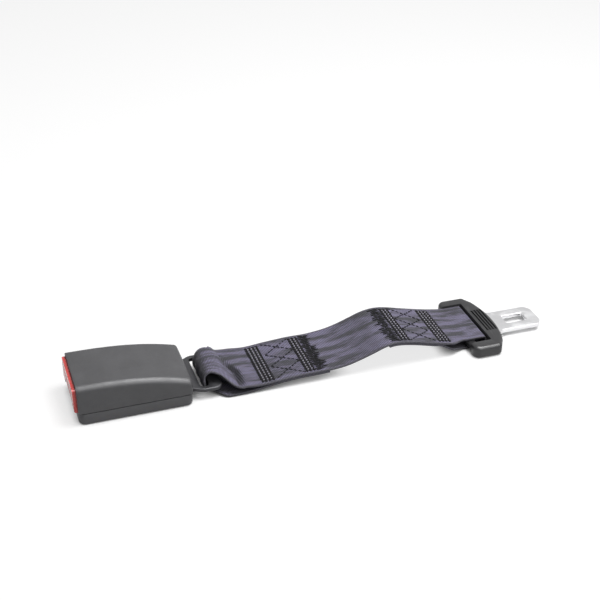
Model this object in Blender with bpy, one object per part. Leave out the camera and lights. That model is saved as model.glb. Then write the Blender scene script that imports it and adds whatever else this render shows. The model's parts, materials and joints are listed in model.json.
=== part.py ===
# Seat belt extender: a push button buckle, a short sewn strap of webbing and a steel tongue in a grip.
# Metres, +Z up. The strap runs along X, from the button at -X to the tongue's tip at +X.
# The origin is on the table, under the middle of the extender.
import math

import bmesh
import bpy
import numpy as np
from mathutils import Matrix, Vector

# Clearances
GAP = 0.0003  # between pieces that seat on each other
RUN = 0.0004  # around pieces that slide
FAR = 0.03  # how far a cutter reaches past what it cuts

# Webbing
WEB_WIDTH = 0.048
WEB_THICK = 0.0012
GATHER_WIDTH = 0.0332  # across the webbing where the anchor slot gathers it
STRAP_LENGTH = 0.1885  # from the anchor bar's middle to the tongue bar's middle
ENDS_APART = 0.0435  # single webbing between the two turned-back ends
LEFT_END = 0.0792  # from the anchor bar to the left turned-back end
WEB_PINCH = 0.0045  # how far the webbing's near edge lies in at the grip
PLY_PITCH = WEB_THICK + GAP
WEB_SPACE = 0.0005  # between the webbing and the grip's bar
FINE_STEP = 0.0020  # between the webbing's cross lines where it turns
WIDE_STEP = 0.0065  # the same where it runs straight
WEB_COLUMNS = 12

# Buckle covers
BUCKLE_LENGTH = 0.076
BASE_WIDTH = 0.049
TOP_WIDTH = 0.046
BASE_HEIGHT = 0.0087
FRONT_HEIGHT = 0.0285
CROWN_DROP = 0.0095  # how much lower the cover is at its strap end
CROWN_POWER = 2.6
COVER_WALL = 0.0018
EDGE_ROUND = 0.0042
REAR_ROUND = 0.0018
CORNER_ROUND = 0.0045
BASE_ROUND = 0.0016
NECK_SPACE = 0.001  # between the frame and the opening that it leaves the covers by
TAB_LENGTH = 0.007
TAB_THICK = 0.0016
TAB_DEPTH = 0.003  # how far a tab reaches into the bottom cover
TAB_ROOT = 0.0035
TABS_FROM_REAR = (0.042, 0.016)

# Press button
BUTTON_PROUD = 0.0024
BUTTON_BACK = 0.009  # from the buckle's front edge
BUTTON_TRAVEL = 0.005
BUTTON_STOP = 0.0015  # left over behind the pressed button
BUTTON_ROUND = 0.0011
BUTTON_WALL = 0.0015
BUTTON_FACE = 0.0012  # from the buckle's front edge to the hollow behind the button's face
DISH = (0.0005, 0.017, 0.0042)  # half sizes of the hollow in its face
MOUTH_LIP = 0.003  # the tongue slot is this much narrower than the channel on each side
ARM_THICK = 0.0018
ARM_SPACE = 0.0005  # between an arm and the top cover
ARM_TO_CHANNEL = 0.0019
ARM_ROOT = 0.003  # how far an arm reaches into the button

# Frame, which is one steel stamping with the anchor plate
STEEL = 0.0028
WALL_STEEL = 0.0022
SLOT_SIDE = 0.0009  # between the gathered webbing and the slot's ends
ANCHOR_ARM = 0.0035
ANCHOR_ROUND = 0.0045
NOSE_START = 0.004  # front end of the channel's floor
ANCHOR_SLOT = 0.0062
ANCHOR_BAR = 0.0085
ANCHOR_NECK = 0.0065  # plate between the covers and the slot

# Latch parts, measured along the buckle from its front edge
TONGUE_THICK = 0.003
TONGUE_SPACE = 0.0002
LATCH_TIP = 0.0215
LATCH_THICK = 0.0018
LATCH_SIDE = 0.005  # between the latch and the channel's outside
LATCH_TAIL = 0.0065
TAIL_HALF = 0.005
EAR_HALF = 0.0013
TOOTH_HALF = 0.0045
TOOTH_LENGTH = 0.0032
TOOTH_HEIGHT = 0.0031
LATCH_SWING = 0.0031  # how far the tooth drops
EJECTOR_FRONT = 0.0224
EJECTOR_LENGTH = 0.012
EJECTOR_SIDE = 0.006  # between the ejector and the channel's outside
EJECTOR_TRAVEL = 0.012
EJECTOR_SPARE = 0.0099  # between the pushed-in ejector and the spring's tab
SPRING_TAB_THICK = 0.0022
TAB_TO_PIVOT = 0.0023  # from the tab's front back to the latch's pivot
LOCK_BAR_AT = 0.036
LOCK_BAR_LENGTH = 0.004
LOCK_BAR_THICK = 0.0011
PEG = 0.004
PEG_FROM_REAR = 0.0075

# Springs
EJECTOR_COIL = 0.003
BUTTON_COIL = 0.0032
WIRE = 0.00045
SPRING_RECESS = 0.003  # the ejector's spring starts this deep inside it
LEAF_LENGTH = 0.0067

# Tongue and grip
BLADE_WIDTH = 0.0245
BLADE_CHAMFER = 0.0007
WINDOW_LENGTH = 0.017
WINDOW_WIDTH = 0.010
WINDOW_TO_TIP = 0.0088
WEB_SIDE = 0.0015  # between the webbing's edge and the end of the grip's slot
GRIP_SIDE = 0.00825  # from the end of the slot to the grip's outside
GRIP_HEIGHT = 0.0092
GRIP_BODY = 0.0135  # from the slot to the middle of the bowed edge
GRIP_BOW = 0.0075
GRIP_SLOT = 0.0091
GRIP_BAR = 0.007
GRIP_BAR_THICK = 0.0044
GRIP_ROUND = 0.0028
BLADE_LENGTH = 0.0355  # from the bowed edge to the tip
GROOVES = 4
GROOVE_WIDTH = 0.0015
GROOVE_PITCH = 0.00225
GROOVE_LENGTH = 0.028
GROOVE_DEPTH = 0.001
RING_STEEL = 0.003  # width of the steel that runs around inside the grip
SLOT_LINING = 0.0012  # moulding between that steel and the ends of the slot
SLOT_LIP = 0.0015  # the same at the slot's outer edge

# Stitching
THREAD = 0.0007
ROW_PITCH = 0.0026
ROW_MARGIN = 0.0022  # from the webbing's edge to the end of a row
TACK_LENGTH = 0.0080
SEAM_START = 0.0424  # from the anchor bar to the left panel of crossing stitches
RIGHT_SEAM_START = 0.0289  # from the tongue bar to the right panel
TACK_TO_END = 0.0008
PANEL_LENGTH = 0.0205
END_ROWS = 4
INNER_ROWS = 3
INNER_START = 0.3  # from the panel to the first inner row, in row pitches
TACK_PITCH = 0.0019

# Places and sizes that follow
CHANNEL_WIDTH = min(BASE_WIDTH, TOP_WIDTH) - 2 * (COVER_WALL + ARM_SPACE + ARM_THICK + ARM_TO_CHANNEL)
ARM_Y = CHANNEL_WIDTH / 2 + ARM_TO_CHANNEL
SLOT_WIDTH = CHANNEL_WIDTH - 2 * MOUTH_LIP
ANCHOR_HALF = GATHER_WIDTH / 2 + SLOT_SIDE + ANCHOR_ARM
GRIP_SLOT_WIDTH = WEB_WIDTH + 2 * WEB_SIDE
GRIP_WIDTH = GRIP_SLOT_WIDTH + 2 * GRIP_SIDE
BAR_HALF = GRIP_BAR / 2
TONGUE_LENGTH = BAR_HALF + GRIP_SLOT + GRIP_BODY + BLADE_LENGTH
ANCHOR_REACH = ANCHOR_NECK + ANCHOR_SLOT + ANCHOR_BAR / 2
OVERALL = BUTTON_PROUD + BUCKLE_LENGTH + ANCHOR_REACH + STRAP_LENGTH + TONGUE_LENGTH
FRONT = BUTTON_PROUD - OVERALL / 2
REAR = FRONT + BUCKLE_LENGTH
ANCHOR_X = REAR + ANCHOR_REACH
BAR_X = ANCHOR_X + STRAP_LENGTH
PARTING = BASE_HEIGHT + GAP  # underside of the top cover
FLOOR_TOP = PARTING - RUN  # the frame's floor lies just under the parting line
FLOOR_Z = FLOOR_TOP - STEEL
TONGUE_FLOOR = FLOOR_TOP + GAP
LATCH_Z = TONGUE_FLOOR + TONGUE_THICK + 2 * TONGUE_SPACE
PIVOT_Z = LATCH_Z + LATCH_THICK / 2
WALL_TOP = LATCH_Z + LATCH_THICK + 0.001
SLOT_TOP = LATCH_Z + 0.001
WALL_START = BUTTON_BACK + BUTTON_TRAVEL + BUTTON_STOP
SPRING_TAB = EJECTOR_FRONT + EJECTOR_LENGTH + EJECTOR_TRAVEL + EJECTOR_SPARE
LATCH_PIVOT = SPRING_TAB - TAB_TO_PIVOT
LATCH_ANGLE = math.atan(LATCH_SWING / (LATCH_PIVOT - LATCH_TIP))
LOCK_BAR_Z = LATCH_Z + LATCH_THICK + (LATCH_PIVOT - LOCK_BAR_AT) * math.tan(LATCH_ANGLE) + GAP / 2
PEG_AT = BUCKLE_LENGTH - PEG_FROM_REAR
BAR_Z = WEB_SPACE + WEB_THICK + WEB_SPACE + GRIP_BAR_THICK / 2
BODY_X = BAR_X + BAR_HALF + GRIP_SLOT  # the slot's outer edge, where the grip's body starts
BOW_X = BODY_X + GRIP_BODY
TIP_X = BOW_X + BLADE_LENGTH


# Helpers

def clear_scene():
    for old in list(bpy.data.objects):
        bpy.data.objects.remove(old, do_unlink=True)


def finish(name, mesh, colour, roughness, metallic=0.0, pivot=(0, 0, 0), sharp=30):
    """Makes one named piece from a mesh in world places, with its origin on the pivot."""
    mesh.name = name
    mesh.transform(Matrix.Translation(-Vector(pivot)))
    mesh.shade_smooth()
    mesh.set_sharp_from_angle(angle=math.radians(sharp))
    piece = bpy.data.objects.new(name, mesh)
    piece.location = pivot
    bpy.context.scene.collection.objects.link(piece)
    material = bpy.data.materials.new(name + "_material")
    material.use_nodes = True
    shader = material.node_tree.nodes["Principled BSDF"]
    shader.inputs["Base Color"].default_value = (*colour, 1)
    shader.inputs["Roughness"].default_value = roughness
    shader.inputs["Metallic"].default_value = metallic
    mesh.materials.append(material)
    return piece


def to_mesh(bm):
    bmesh.ops.recalc_face_normals(bm, faces=bm.faces)
    mesh = bpy.data.meshes.new("shape")
    bm.to_mesh(mesh)
    bm.free()
    return mesh


def box(x0, x1, y0, y1, z0, z1):
    bm = bmesh.new()
    bmesh.ops.create_cube(bm, size=1)
    bmesh.ops.scale(bm, vec=(x1 - x0, y1 - y0, z1 - z0), verts=bm.verts)
    bmesh.ops.translate(bm, vec=((x0 + x1) / 2, (y0 + y1) / 2, (z0 + z1) / 2), verts=bm.verts)
    return bm


def prism(outline, low, high, plane="XY"):
    """Extrudes a closed outline: in plan up from low to high, or a side outline across from low to high."""
    bm = bmesh.new()
    if plane == "XY":
        points = [(a, b, low) for a, b in outline]
        step = (0, 0, high - low)
    else:
        points = [(a, low, b) for a, b in outline]
        step = (0, high - low, 0)
    face = bm.faces.new([bm.verts.new(p) for p in points])
    grown = bmesh.ops.extrude_face_region(bm, geom=[face])["geom"]
    moved = [g for g in grown if isinstance(g, bmesh.types.BMVert)]
    bmesh.ops.translate(bm, vec=step, verts=moved)
    return bm


def rounded(x0, x1, y0, y1, radius, steps=4):
    """The outline of a rectangle with round corners."""
    corners = ((x1, y1, 0), (x0, y1, 90), (x0, y0, 180), (x1, y0, 270))
    outline = []
    for x, y, start in corners:
        cx = x + (radius if x == x0 else -radius)
        cy = y + (radius if y == y0 else -radius)
        for i in range(steps + 1):
            turn = math.radians(start + 90 * i / steps)
            outline.append((cx + radius * math.cos(turn), cy + radius * math.sin(turn)))
    return outline


def rod(radius, x, low, high):
    bm = bmesh.new()
    bmesh.ops.create_cone(bm, cap_ends=True, segments=20, radius1=radius, radius2=radius, depth=high - low)
    bmesh.ops.translate(bm, vec=(x, 0, (low + high) / 2), verts=bm.verts)
    return bm


def bevel_where(bm, chosen, width, segments=3):
    edges = [e for e in bm.edges if chosen(e)]
    bmesh.ops.bevel(bm, geom=edges, offset=width, affect="EDGES", segments=segments,
                    profile=0.5, material=-1, clamp_overlap=True)


def combine(base, others, operation):
    """Joins or cuts one bmesh with others by exact Booleans, and returns the new mesh."""
    holder = bpy.data.objects.new("holder", to_mesh(base))
    bpy.context.scene.collection.objects.link(holder)
    tools = []
    for bm in others:
        tool = bpy.data.objects.new("tool", to_mesh(bm))
        tool.hide_render = True
        tool.display_type = "WIRE"
        bpy.context.scene.collection.objects.link(tool)
        step = holder.modifiers.new("step", "BOOLEAN")
        step.operation = operation
        step.solver = "EXACT"
        step.object = tool
        tools.append(tool)
    graph = bpy.context.evaluated_depsgraph_get()
    made = bpy.data.meshes.new_from_object(holder.evaluated_get(graph))
    for used in [holder, *tools]:
        bpy.data.objects.remove(used, do_unlink=True)
    return made


def to_bmesh(mesh):
    bm = bmesh.new()
    bm.from_mesh(mesh)
    bpy.data.meshes.remove(mesh)
    return bm


# Buckle covers

def crown(at):
    """Height of the top cover at a place measured along the buckle from its front edge."""
    share = max(at, 0) / BUCKLE_LENGTH
    return FRONT_HEIGHT - CROWN_DROP * share ** CROWN_POWER


def side_at(height):
    """Half the width of the top cover at a height."""
    share = (height - BASE_HEIGHT) / (FRONT_HEIGHT - BASE_HEIGHT)
    return (BASE_WIDTH + (TOP_WIDTH - BASE_WIDTH) * share) / 2


def crowned(start, end, low, inset, stations=10, blunt=0.0):
    """A block under the crown between two places along the buckle, inset from the cover's outside.

    It is a row of cross sections with round top corners. The last few shrink, to round its end by blunt.
    """
    turn = EDGE_ROUND - inset
    sections = [(start + (end - blunt - start) * i / stations, 0.0) for i in range(stations + 1)]
    if blunt:
        angles = [math.radians(t) for t in (30, 60, 90)]
        sections += [(end - blunt * (1 - math.sin(t)), blunt * (1 - math.cos(t))) for t in angles]
    bm = bmesh.new()
    rings = []
    for place, shrink in sections:
        shrink += inset
        top = crown(place) - shrink
        wide = side_at(top - turn) - shrink
        half = [(side_at(low) - shrink, low)]
        for i in range(5):
            t = math.radians(22.5 * i)
            half.append((wide - turn + turn * math.cos(t), top - turn + turn * math.sin(t)))
        ring = half + [(-y, z) for y, z in reversed(half)]
        rings.append([bm.verts.new((FRONT + place, y, z)) for y, z in ring])
    for one, other in zip(rings, rings[1:]):
        for i in range(len(one)):
            bm.faces.new((one[i - 1], one[i], other[i], other[i - 1]))
    bm.faces.new(rings[0])
    bm.faces.new(rings[-1])
    return bm


def top_cover():
    shell = crowned(0, BUCKLE_LENGTH, PARTING, 0, blunt=REAR_ROUND)
    hollow = crowned(-FAR, BUCKLE_LENGTH - COVER_WALL, PARTING - FAR, COVER_WALL)
    shell = to_bmesh(combine(shell, [hollow], "DIFFERENCE"))
    # Four tabs, rooted in the walls, reach down inside the bottom cover and line the two covers up
    tab_out = BASE_WIDTH / 2 - COVER_WALL - GAP
    tab_in = min(tab_out, side_at(PARTING + TAB_ROOT) - COVER_WALL) - TAB_THICK
    root_out = min(side_at(PARTING), side_at(PARTING + TAB_ROOT)) - COVER_WALL / 2
    tabs = []
    for side in (-1, 1):
        for place in TABS_FROM_REAR:
            x = REAR - place
            y0, y1 = sorted((side * tab_out, side * tab_in))
            tabs.append(box(x, x + TAB_LENGTH, y0, y1, PARTING - TAB_DEPTH, PARTING + TAB_ROOT))
            y0, y1 = sorted((side * root_out, side * tab_in))
            tabs.append(box(x, x + TAB_LENGTH, y0, y1, PARTING + GAP, PARTING + TAB_ROOT))
    mesh = combine(shell, tabs, "UNION")
    return finish("buckle_top_cover", mesh, (0.135, 0.135, 0.142), 0.42)


# The button's springs lie beside the channel, between pockets in the button and posts in the bottom cover
BUTTON_COIL_Y = CHANNEL_WIDTH / 2 + GAP + BUTTON_COIL / 2
BUTTON_COIL_Z = BASE_HEIGHT + 0.0038
BUTTON_POCKET = 0.0055  # front end of the button's springs
SPRING_POST = BUTTON_POCKET + 0.0208
POST_THICK = 0.002
RIB_THICK = 0.0016
RIB_IN = 0.003  # from the channel's outside to a rib's middle


def bottom_cover():
    half = BASE_WIDTH / 2
    shell = prism(rounded(FRONT, REAR, -half, half, CORNER_ROUND), 0, BASE_HEIGHT)
    bevel_where(shell, lambda e: max(v.co.z for v in e.verts) < 1e-6, BASE_ROUND, 2)
    inner = half - COVER_WALL
    hollow = prism(rounded(FRONT + COVER_WALL, REAR - COVER_WALL, -inner, inner, CORNER_ROUND - COVER_WALL),
                   COVER_WALL, BASE_HEIGHT + FAR)
    notch = CHANNEL_WIDTH / 2 + NECK_SPACE
    neck = box(REAR - 2 * COVER_WALL, REAR + FAR, -notch, notch, FLOOR_Z - RUN, BASE_HEIGHT + FAR)
    shell = to_bmesh(combine(shell, [hollow, neck], "DIFFERENCE"))
    low = COVER_WALL / 2
    seats = []
    for side in (-1, 1):
        # Two long ribs carry the frame, and two posts carry the button's springs
        y = side * (CHANNEL_WIDTH / 2 - RIB_IN)
        seats.append(box(FRONT + WALL_START + RIB_IN, REAR - 2 * RIB_IN, y - RIB_THICK / 2, y + RIB_THICK / 2,
                         low, FLOOR_Z - GAP))
        y0, y1 = sorted((side * (CHANNEL_WIDTH / 2 + GAP), side * (BUTTON_COIL_Y + BUTTON_COIL / 2)))
        seats.append(box(FRONT + SPRING_POST, FRONT + SPRING_POST + POST_THICK, y0, y1,
                         low, BUTTON_COIL_Z + BUTTON_COIL / 2))
    # A peg through the frame's floor keeps it from sliding
    seats.append(rod(PEG / 2, FRONT + PEG_AT, low, FLOOR_TOP))
    mesh = combine(shell, seats, "UNION")
    return finish("buckle_bottom_cover", mesh, (0.125, 0.125, 0.132), 0.45)


def press_button():
    front = -BUTTON_PROUD
    low = PARTING + RUN
    inset = COVER_WALL + RUN
    cap = crowned(front, BUTTON_BACK, low, inset, 4)
    bevel_where(cap, lambda e: max(v.co.x for v in e.verts) < FRONT + front + 1e-5, BUTTON_ROUND, 3)
    # The face is dished where the thumb presses
    dish = bmesh.new()
    bmesh.ops.create_uvsphere(dish, u_segments=20, v_segments=12, radius=1)
    bmesh.ops.scale(dish, vec=DISH, verts=dish.verts)
    bmesh.ops.translate(dish, vec=(FRONT + front, 0, (SLOT_TOP + crown(front)) / 2), verts=dish.verts)
    half = SLOT_WIDTH / 2
    mouth = box(FRONT - FAR, FRONT + BUTTON_BACK + FAR, -half, half, 0, SLOT_TOP)
    core = box(FRONT + BUTTON_FACE, FRONT + BUTTON_BACK + FAR, -half, half,
               SLOT_TOP + BUTTON_WALL, crown(BUTTON_BACK) - inset - BUTTON_WALL)
    cuts = [dish, mouth, core]
    for side in (-1, 1):
        y = side * BUTTON_COIL_Y
        room = BUTTON_COIL / 2 + GAP
        cuts.append(box(FRONT + BUTTON_POCKET - GAP, FRONT + BUTTON_BACK + FAR, y - room, y + room,
                        BUTTON_COIL_Z - room, BUTTON_COIL_Z + room))
    body = to_bmesh(combine(cap, cuts, "DIFFERENCE"))
    arm_low = BUTTON_COIL_Z + BUTTON_COIL / 2 + RUN
    arm_end = LOCK_BAR_AT + LOCK_BAR_LENGTH + ARM_THICK
    arms = []
    for side in (-1, 1):
        y0, y1 = sorted((side * ARM_Y, side * (ARM_Y + ARM_THICK)))
        arms.append(box(FRONT + BUTTON_BACK - ARM_ROOT, FRONT + arm_end, y0, y1,
                        arm_low, LOCK_BAR_Z + LOCK_BAR_THICK))
    body = to_bmesh(combine(body, arms, "UNION"))
    wide = ARM_Y + ARM_THICK + FAR
    seat = box(FRONT + LOCK_BAR_AT - GAP, FRONT + LOCK_BAR_AT + LOCK_BAR_LENGTH + GAP, -wide, wide,
               LOCK_BAR_Z - GAP, LOCK_BAR_Z + FAR)
    mesh = combine(body, [seat], "DIFFERENCE")
    return finish("press_button", mesh, (0.72, 0.055, 0.05), 0.33)


def lock_bar():
    half = ARM_Y + ARM_THICK
    bar = box(FRONT + LOCK_BAR_AT, FRONT + LOCK_BAR_AT + LOCK_BAR_LENGTH, -half, half,
              LOCK_BAR_Z, LOCK_BAR_Z + LOCK_BAR_THICK)
    return finish("lock_bar", to_mesh(bar), (0.55, 0.55, 0.57), 0.35, 1.0)


# Frame with its anchor plate

def frame_outline():
    neck = CHANNEL_WIDTH / 2
    nose = SLOT_WIDTH / 2 - 2 * RUN
    end = ANCHOR_X + ANCHOR_BAR / 2
    start = FRONT + NOSE_START
    shoulder = FRONT + WALL_START
    flare = ANCHOR_X - ANCHOR_BAR / 2 - ANCHOR_SLOT
    half = [(start, nose - 0.002), (start + 0.002, nose), (shoulder, nose), (shoulder, neck),
            (REAR, neck), (REAR + 0.15 * (flare - REAR), neck + 0.1 * (ANCHOR_HALF - neck)),
            (flare, ANCHOR_HALF - 0.0005), (flare + 0.002, ANCHOR_HALF)]
    for i in range(7):
        turn = math.radians(90 - 90 * i / 6)
        half.append((end - ANCHOR_ROUND + ANCHOR_ROUND * math.cos(turn),
                     ANCHOR_HALF - ANCHOR_ROUND + ANCHOR_ROUND * math.sin(turn)))
    return half + [(x, -y) for x, y in reversed(half)]


def buckle_frame():
    plate = prism(frame_outline(), FLOOR_Z, FLOOR_TOP)
    bevel_where(plate, lambda e: min(v.co.x for v in e.verts) > REAR
                and abs(e.verts[0].co.z - e.verts[1].co.z) < 1e-6, 0.0004, 1)
    bar_left = ANCHOR_X - ANCHOR_BAR / 2
    half = GATHER_WIDTH / 2 + SLOT_SIDE
    slot = prism(rounded(bar_left - ANCHOR_SLOT, bar_left, -half, half, 0.002), 0, FAR)
    room = LATCH_SWING / 2
    half = TOOTH_HALF + 0.002
    tooth = box(FRONT + LATCH_TIP - room, FRONT + LATCH_TIP + TOOTH_LENGTH + room, -half, half, 0, FAR)
    hole = rod(PEG / 2 + GAP, FRONT + PEG_AT, 0, FAR)
    plate = to_bmesh(combine(plate, [slot, tooth, hole], "DIFFERENCE"))
    inside = (FLOOR_Z + FLOOR_TOP) / 2
    outer = CHANNEL_WIDTH / 2
    start = FRONT + WALL_START
    end = FRONT + LATCH_PIVOT + 0.006
    outline = [(start, inside), (end, inside), (end, WALL_TOP - 0.003), (end - 0.002, WALL_TOP),
               (start + 0.0055, WALL_TOP), (start, WALL_TOP - 0.003)]
    adds = []
    for side in (-1, 1):
        y0, y1 = sorted((side * outer, side * (outer - WALL_STEEL)))
        adds.append(prism(outline, y0, y1, "XZ"))
    adds.append(box(FRONT + SPRING_TAB, FRONT + SPRING_TAB + SPRING_TAB_THICK, -0.004, 0.004,
                    inside, TONGUE_FLOOR + EJECTOR_COIL - 0.0005))
    joined = to_bmesh(combine(plate, adds, "UNION"))
    # Notches in the two walls hold the latch's ears
    room = EAR_HALF + 0.0007
    notch = box(FRONT + LATCH_PIVOT - room, FRONT + LATCH_PIVOT + room, -FAR, FAR,
                LATCH_Z - GAP, WALL_TOP + FAR)
    mesh = combine(joined, [notch], "DIFFERENCE")
    return finish("buckle_frame", mesh, (0.17, 0.17, 0.175), 0.38, 0.75)


# Latch, ejector and springs

def latch_plate():
    """The latch is drawn level, as it holds a tongue, and then swung up to its rest."""
    tip = FRONT + LATCH_TIP
    pivot = FRONT + LATCH_PIVOT
    half = CHANNEL_WIDTH / 2 - LATCH_SIDE
    ear = CHANNEL_WIDTH / 2 - RUN
    tail = pivot + LATCH_TAIL
    side = [(tip, TOOTH_HALF + 0.001), (tip + 0.002, TOOTH_HALF + 0.0015), (tip + 0.008, half),
            (pivot - EAR_HALF, half), (pivot - EAR_HALF, ear), (pivot + EAR_HALF, ear),
            (pivot + EAR_HALF, half), (pivot + 0.003, half), (tail - 0.002, TAIL_HALF), (tail, TAIL_HALF)]
    outline = side + [(x, -y) for x, y in reversed(side)]
    plate = prism(outline, LATCH_Z, LATCH_Z + LATCH_THICK)
    tooth = box(tip + 0.00005, tip + TOOTH_LENGTH, -TOOTH_HALF, TOOTH_HALF,
                LATCH_Z - TOOTH_HEIGHT, LATCH_Z + LATCH_THICK / 3)
    mesh = combine(plate, [tooth], "UNION")
    axis = Vector((pivot, 0, PIVOT_Z))
    swing = Matrix.Translation(axis) @ Matrix.Rotation(LATCH_ANGLE, 4, "Y") @ Matrix.Translation(-axis)
    mesh.transform(swing)
    return finish("latch_plate", mesh, (0.5, 0.5, 0.52), 0.36, 1.0, pivot=axis)


def ejector():
    x0 = FRONT + EJECTOR_FRONT
    x1 = x0 + EJECTOR_LENGTH
    low = TONGUE_FLOOR
    high = LATCH_Z - GAP
    outline = [(x0, low), (x1, low), (x1, high), (x0 + 0.003, high), (x0, high - 0.0008)]
    half = CHANNEL_WIDTH / 2 - EJECTOR_SIDE
    block = prism(outline, -half, half, "XZ")
    # A recess behind takes the spring's first turns
    room = EJECTOR_COIL / 2 + GAP
    seat = box(x1 - SPRING_RECESS, x1 + FAR, -room, room, 0, FAR)
    mesh = combine(block, [seat], "DIFFERENCE")
    return finish("ejector", mesh, (0.02, 0.02, 0.022), 0.5)


def coil(name, start, end, radius, y, z, turns, sides=4, per_turn=8):
    """A compression spring along X, swept from a ring of the wire's outline."""
    count = turns * per_turn
    bm = bmesh.new()
    rings = []
    x0 = start + WIRE / 2
    rise = (end - start - WIRE) / count
    lead = radius - WIRE / 2
    for i in range(count + 1):
        turn = 2 * math.pi * i / per_turn
        out = Vector((0, math.cos(turn), math.sin(turn)))
        run = Vector((rise * per_turn / (2 * math.pi), -lead * math.sin(turn), lead * math.cos(turn)))
        run.normalize()
        up = run.cross(out)
        middle = Vector((x0 + rise * i, y, z)) + lead * out
        ring = []
        for j in range(sides):
            a = 2 * math.pi * j / sides
            ring.append(bm.verts.new(middle + WIRE / 2 * (math.cos(a) * out + math.sin(a) * up)))
        edges = [bm.edges.new((ring[j], ring[(j + 1) % sides])) for j in range(sides)]
        if rings:
            bmesh.ops.bridge_loops(bm, edges=rings[-1][1] + edges)
        rings.append((ring, edges))
    bm.faces.new(rings[0][0])
    bm.faces.new(rings[-1][0])
    return finish(name, to_mesh(bm), (0.6, 0.6, 0.62), 0.3, 1.0, sharp=80)


def springs():
    behind = FRONT + EJECTOR_FRONT + EJECTOR_LENGTH - SPRING_RECESS + GAP
    z = TONGUE_FLOOR + EJECTOR_COIL / 2
    coil("ejector_spring", behind, FRONT + SPRING_TAB - GAP, EJECTOR_COIL / 2, 0, z, 13)
    for side, word in ((-1, "right"), (1, "left")):
        coil("button_spring_" + word, FRONT + BUTTON_POCKET, FRONT + SPRING_POST - GAP,
             BUTTON_COIL / 2, side * BUTTON_COIL_Y, BUTTON_COIL_Z, 10)


def latch_spring():
    """A bent leaf on the frame's floor, under the latch's tail."""
    thick = 0.0005
    low = FLOOR_TOP + GAP
    near = FRONT + LATCH_PIVOT + LATCH_TAIL - 0.0013
    back = near + LEAF_LENGTH
    tip_z = LATCH_Z - (LATCH_TAIL - 0.0013) * math.tan(LATCH_ANGLE) - GAP - thick
    line = [Vector((x, 0, z)) for x, z in (
        (near + 0.0005, low), (back - 0.0008, low), (back, low + 0.0006), (back - 0.0006, low + 0.0013),
        (near + 0.0012, tip_z), (near, tip_z - 0.0002))]
    inner, outer = [], []
    for i, p in enumerate(line):
        run = (line[min(i + 1, len(line) - 1)] - line[max(i - 1, 0)]).normalized()
        inner.append((p.x - run.z * thick, p.z + run.x * thick))
        outer.append((p.x, p.z))
    leaf = prism(outer + inner[::-1], -TAIL_HALF + 0.002, TAIL_HALF - 0.002, "XZ")
    return finish("latch_spring", to_mesh(leaf), (0.6, 0.6, 0.62), 0.3, 1.0)


# Webbing

# Height of the upper ply's middle above the table, at places along X from the anchor bar
RISE = [(0.020, 0.0061), (0.028, 0.0052), (0.036, 0.0053), (0.048, 0.0063), (0.062, 0.0072), (0.078, 0.0073),
        (0.091, 0.0086), (0.101, 0.0113), (0.110, 0.0145), (0.119, 0.0178), (0.126, 0.0191), (0.133, 0.0189),
        (0.142, 0.0172), (0.152, 0.0146), (0.163, 0.0118), (0.174, 0.0095)]
# The slack loop around the anchor bar, from the lower ply round to the upper one. It rises gently at its
# near edge, and steeply across the rest of its width.
LOOP_BELOW = [(0.030, 0.0025), (0.0235, 0.0016), (0.017, 0.0012), (0.010, 0.0011), (0.003, 0.0014),
              (-0.0042, 0.0027), (-0.0075, 0.0062), (-0.0082, 0.0112)]
LOOP_NEAR = [(-0.0078, 0.0156), (-0.0048, 0.0182), (0.0000, 0.0189), (0.0040, 0.0172), (0.0078, 0.0140),
             (0.0118, 0.0102), (0.0162, 0.0076)]
LOOP_FAR = [(-0.0072, 0.0160), (-0.0036, 0.0189), (0.0012, 0.0196), (0.0056, 0.0180), (0.0080, 0.0140),
            (0.0098, 0.0092), (0.0140, 0.0066)]
LOOP_Z = 0.0104  # height of the loop's middle
LOWER_START = 0.038  # the lower ply lies close under the upper one between these places
LOWER_END = 0.163
CLOSE_STEP = 0.006


def smooth(points, step, stations=None):
    """A Catmull-Rom curve through the points. The step length is a function of the place along X."""
    p = np.array([points[0], *points, points[-1]], float)
    p[0] = 2 * p[1] - p[2]
    p[-1] = 2 * p[-2] - p[-3]
    fine = []
    for i in range(1, len(p) - 2):
        for t in np.linspace(0, 1, 24, endpoint=False):
            a, b, c, d = p[i - 1:i + 3]
            fine.append(0.5 * (2 * b + (c - a) * t + (2 * a - 5 * b + 4 * c - d) * t ** 2
                               + (3 * b - a - 3 * c + d) * t ** 3))
    fine.append(p[-2])
    fine = np.array(fine)
    parts = np.linalg.norm(np.diff(fine, axis=0), axis=1)
    steps = np.array([step(x) for x in fine[1:, 0]])
    count = np.r_[0, np.cumsum(parts / steps)]
    stations = stations or int(round(count[-1])) + 1
    read = np.linspace(0, count[-1], stations)
    return np.stack([np.interp(read, count, fine[:, k]) for k in range(fine.shape[1])], axis=1)


def web_step(x):
    """Fine steps around the anchor bar and the tongue's bar, and wide ones between."""
    away = min(x - ANCHOR_X - 0.024, BAR_X - 0.004 - x)
    return FINE_STEP + (WIDE_STEP - FINE_STEP) * min(max(away / 0.02, 0), 1)


UPPER = smooth(RISE, lambda x: 0.001)


def ply_height(x):
    """Height of the upper ply's middle at a place along X, read from the smooth rise."""
    return float(np.interp(x - ANCHOR_X, UPPER[:, 0], UPPER[:, 1]))


def ply_tilt(x):
    return math.atan((ply_height(x + 0.001) - ply_height(x - 0.001)) / 0.002)


def lower_point(x):
    """A point of the ply that lies under the upper one."""
    tilt = ply_tilt(x)
    return (x + PLY_PITCH * math.sin(tilt), ply_height(x) - PLY_PITCH * math.cos(tilt))


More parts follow.
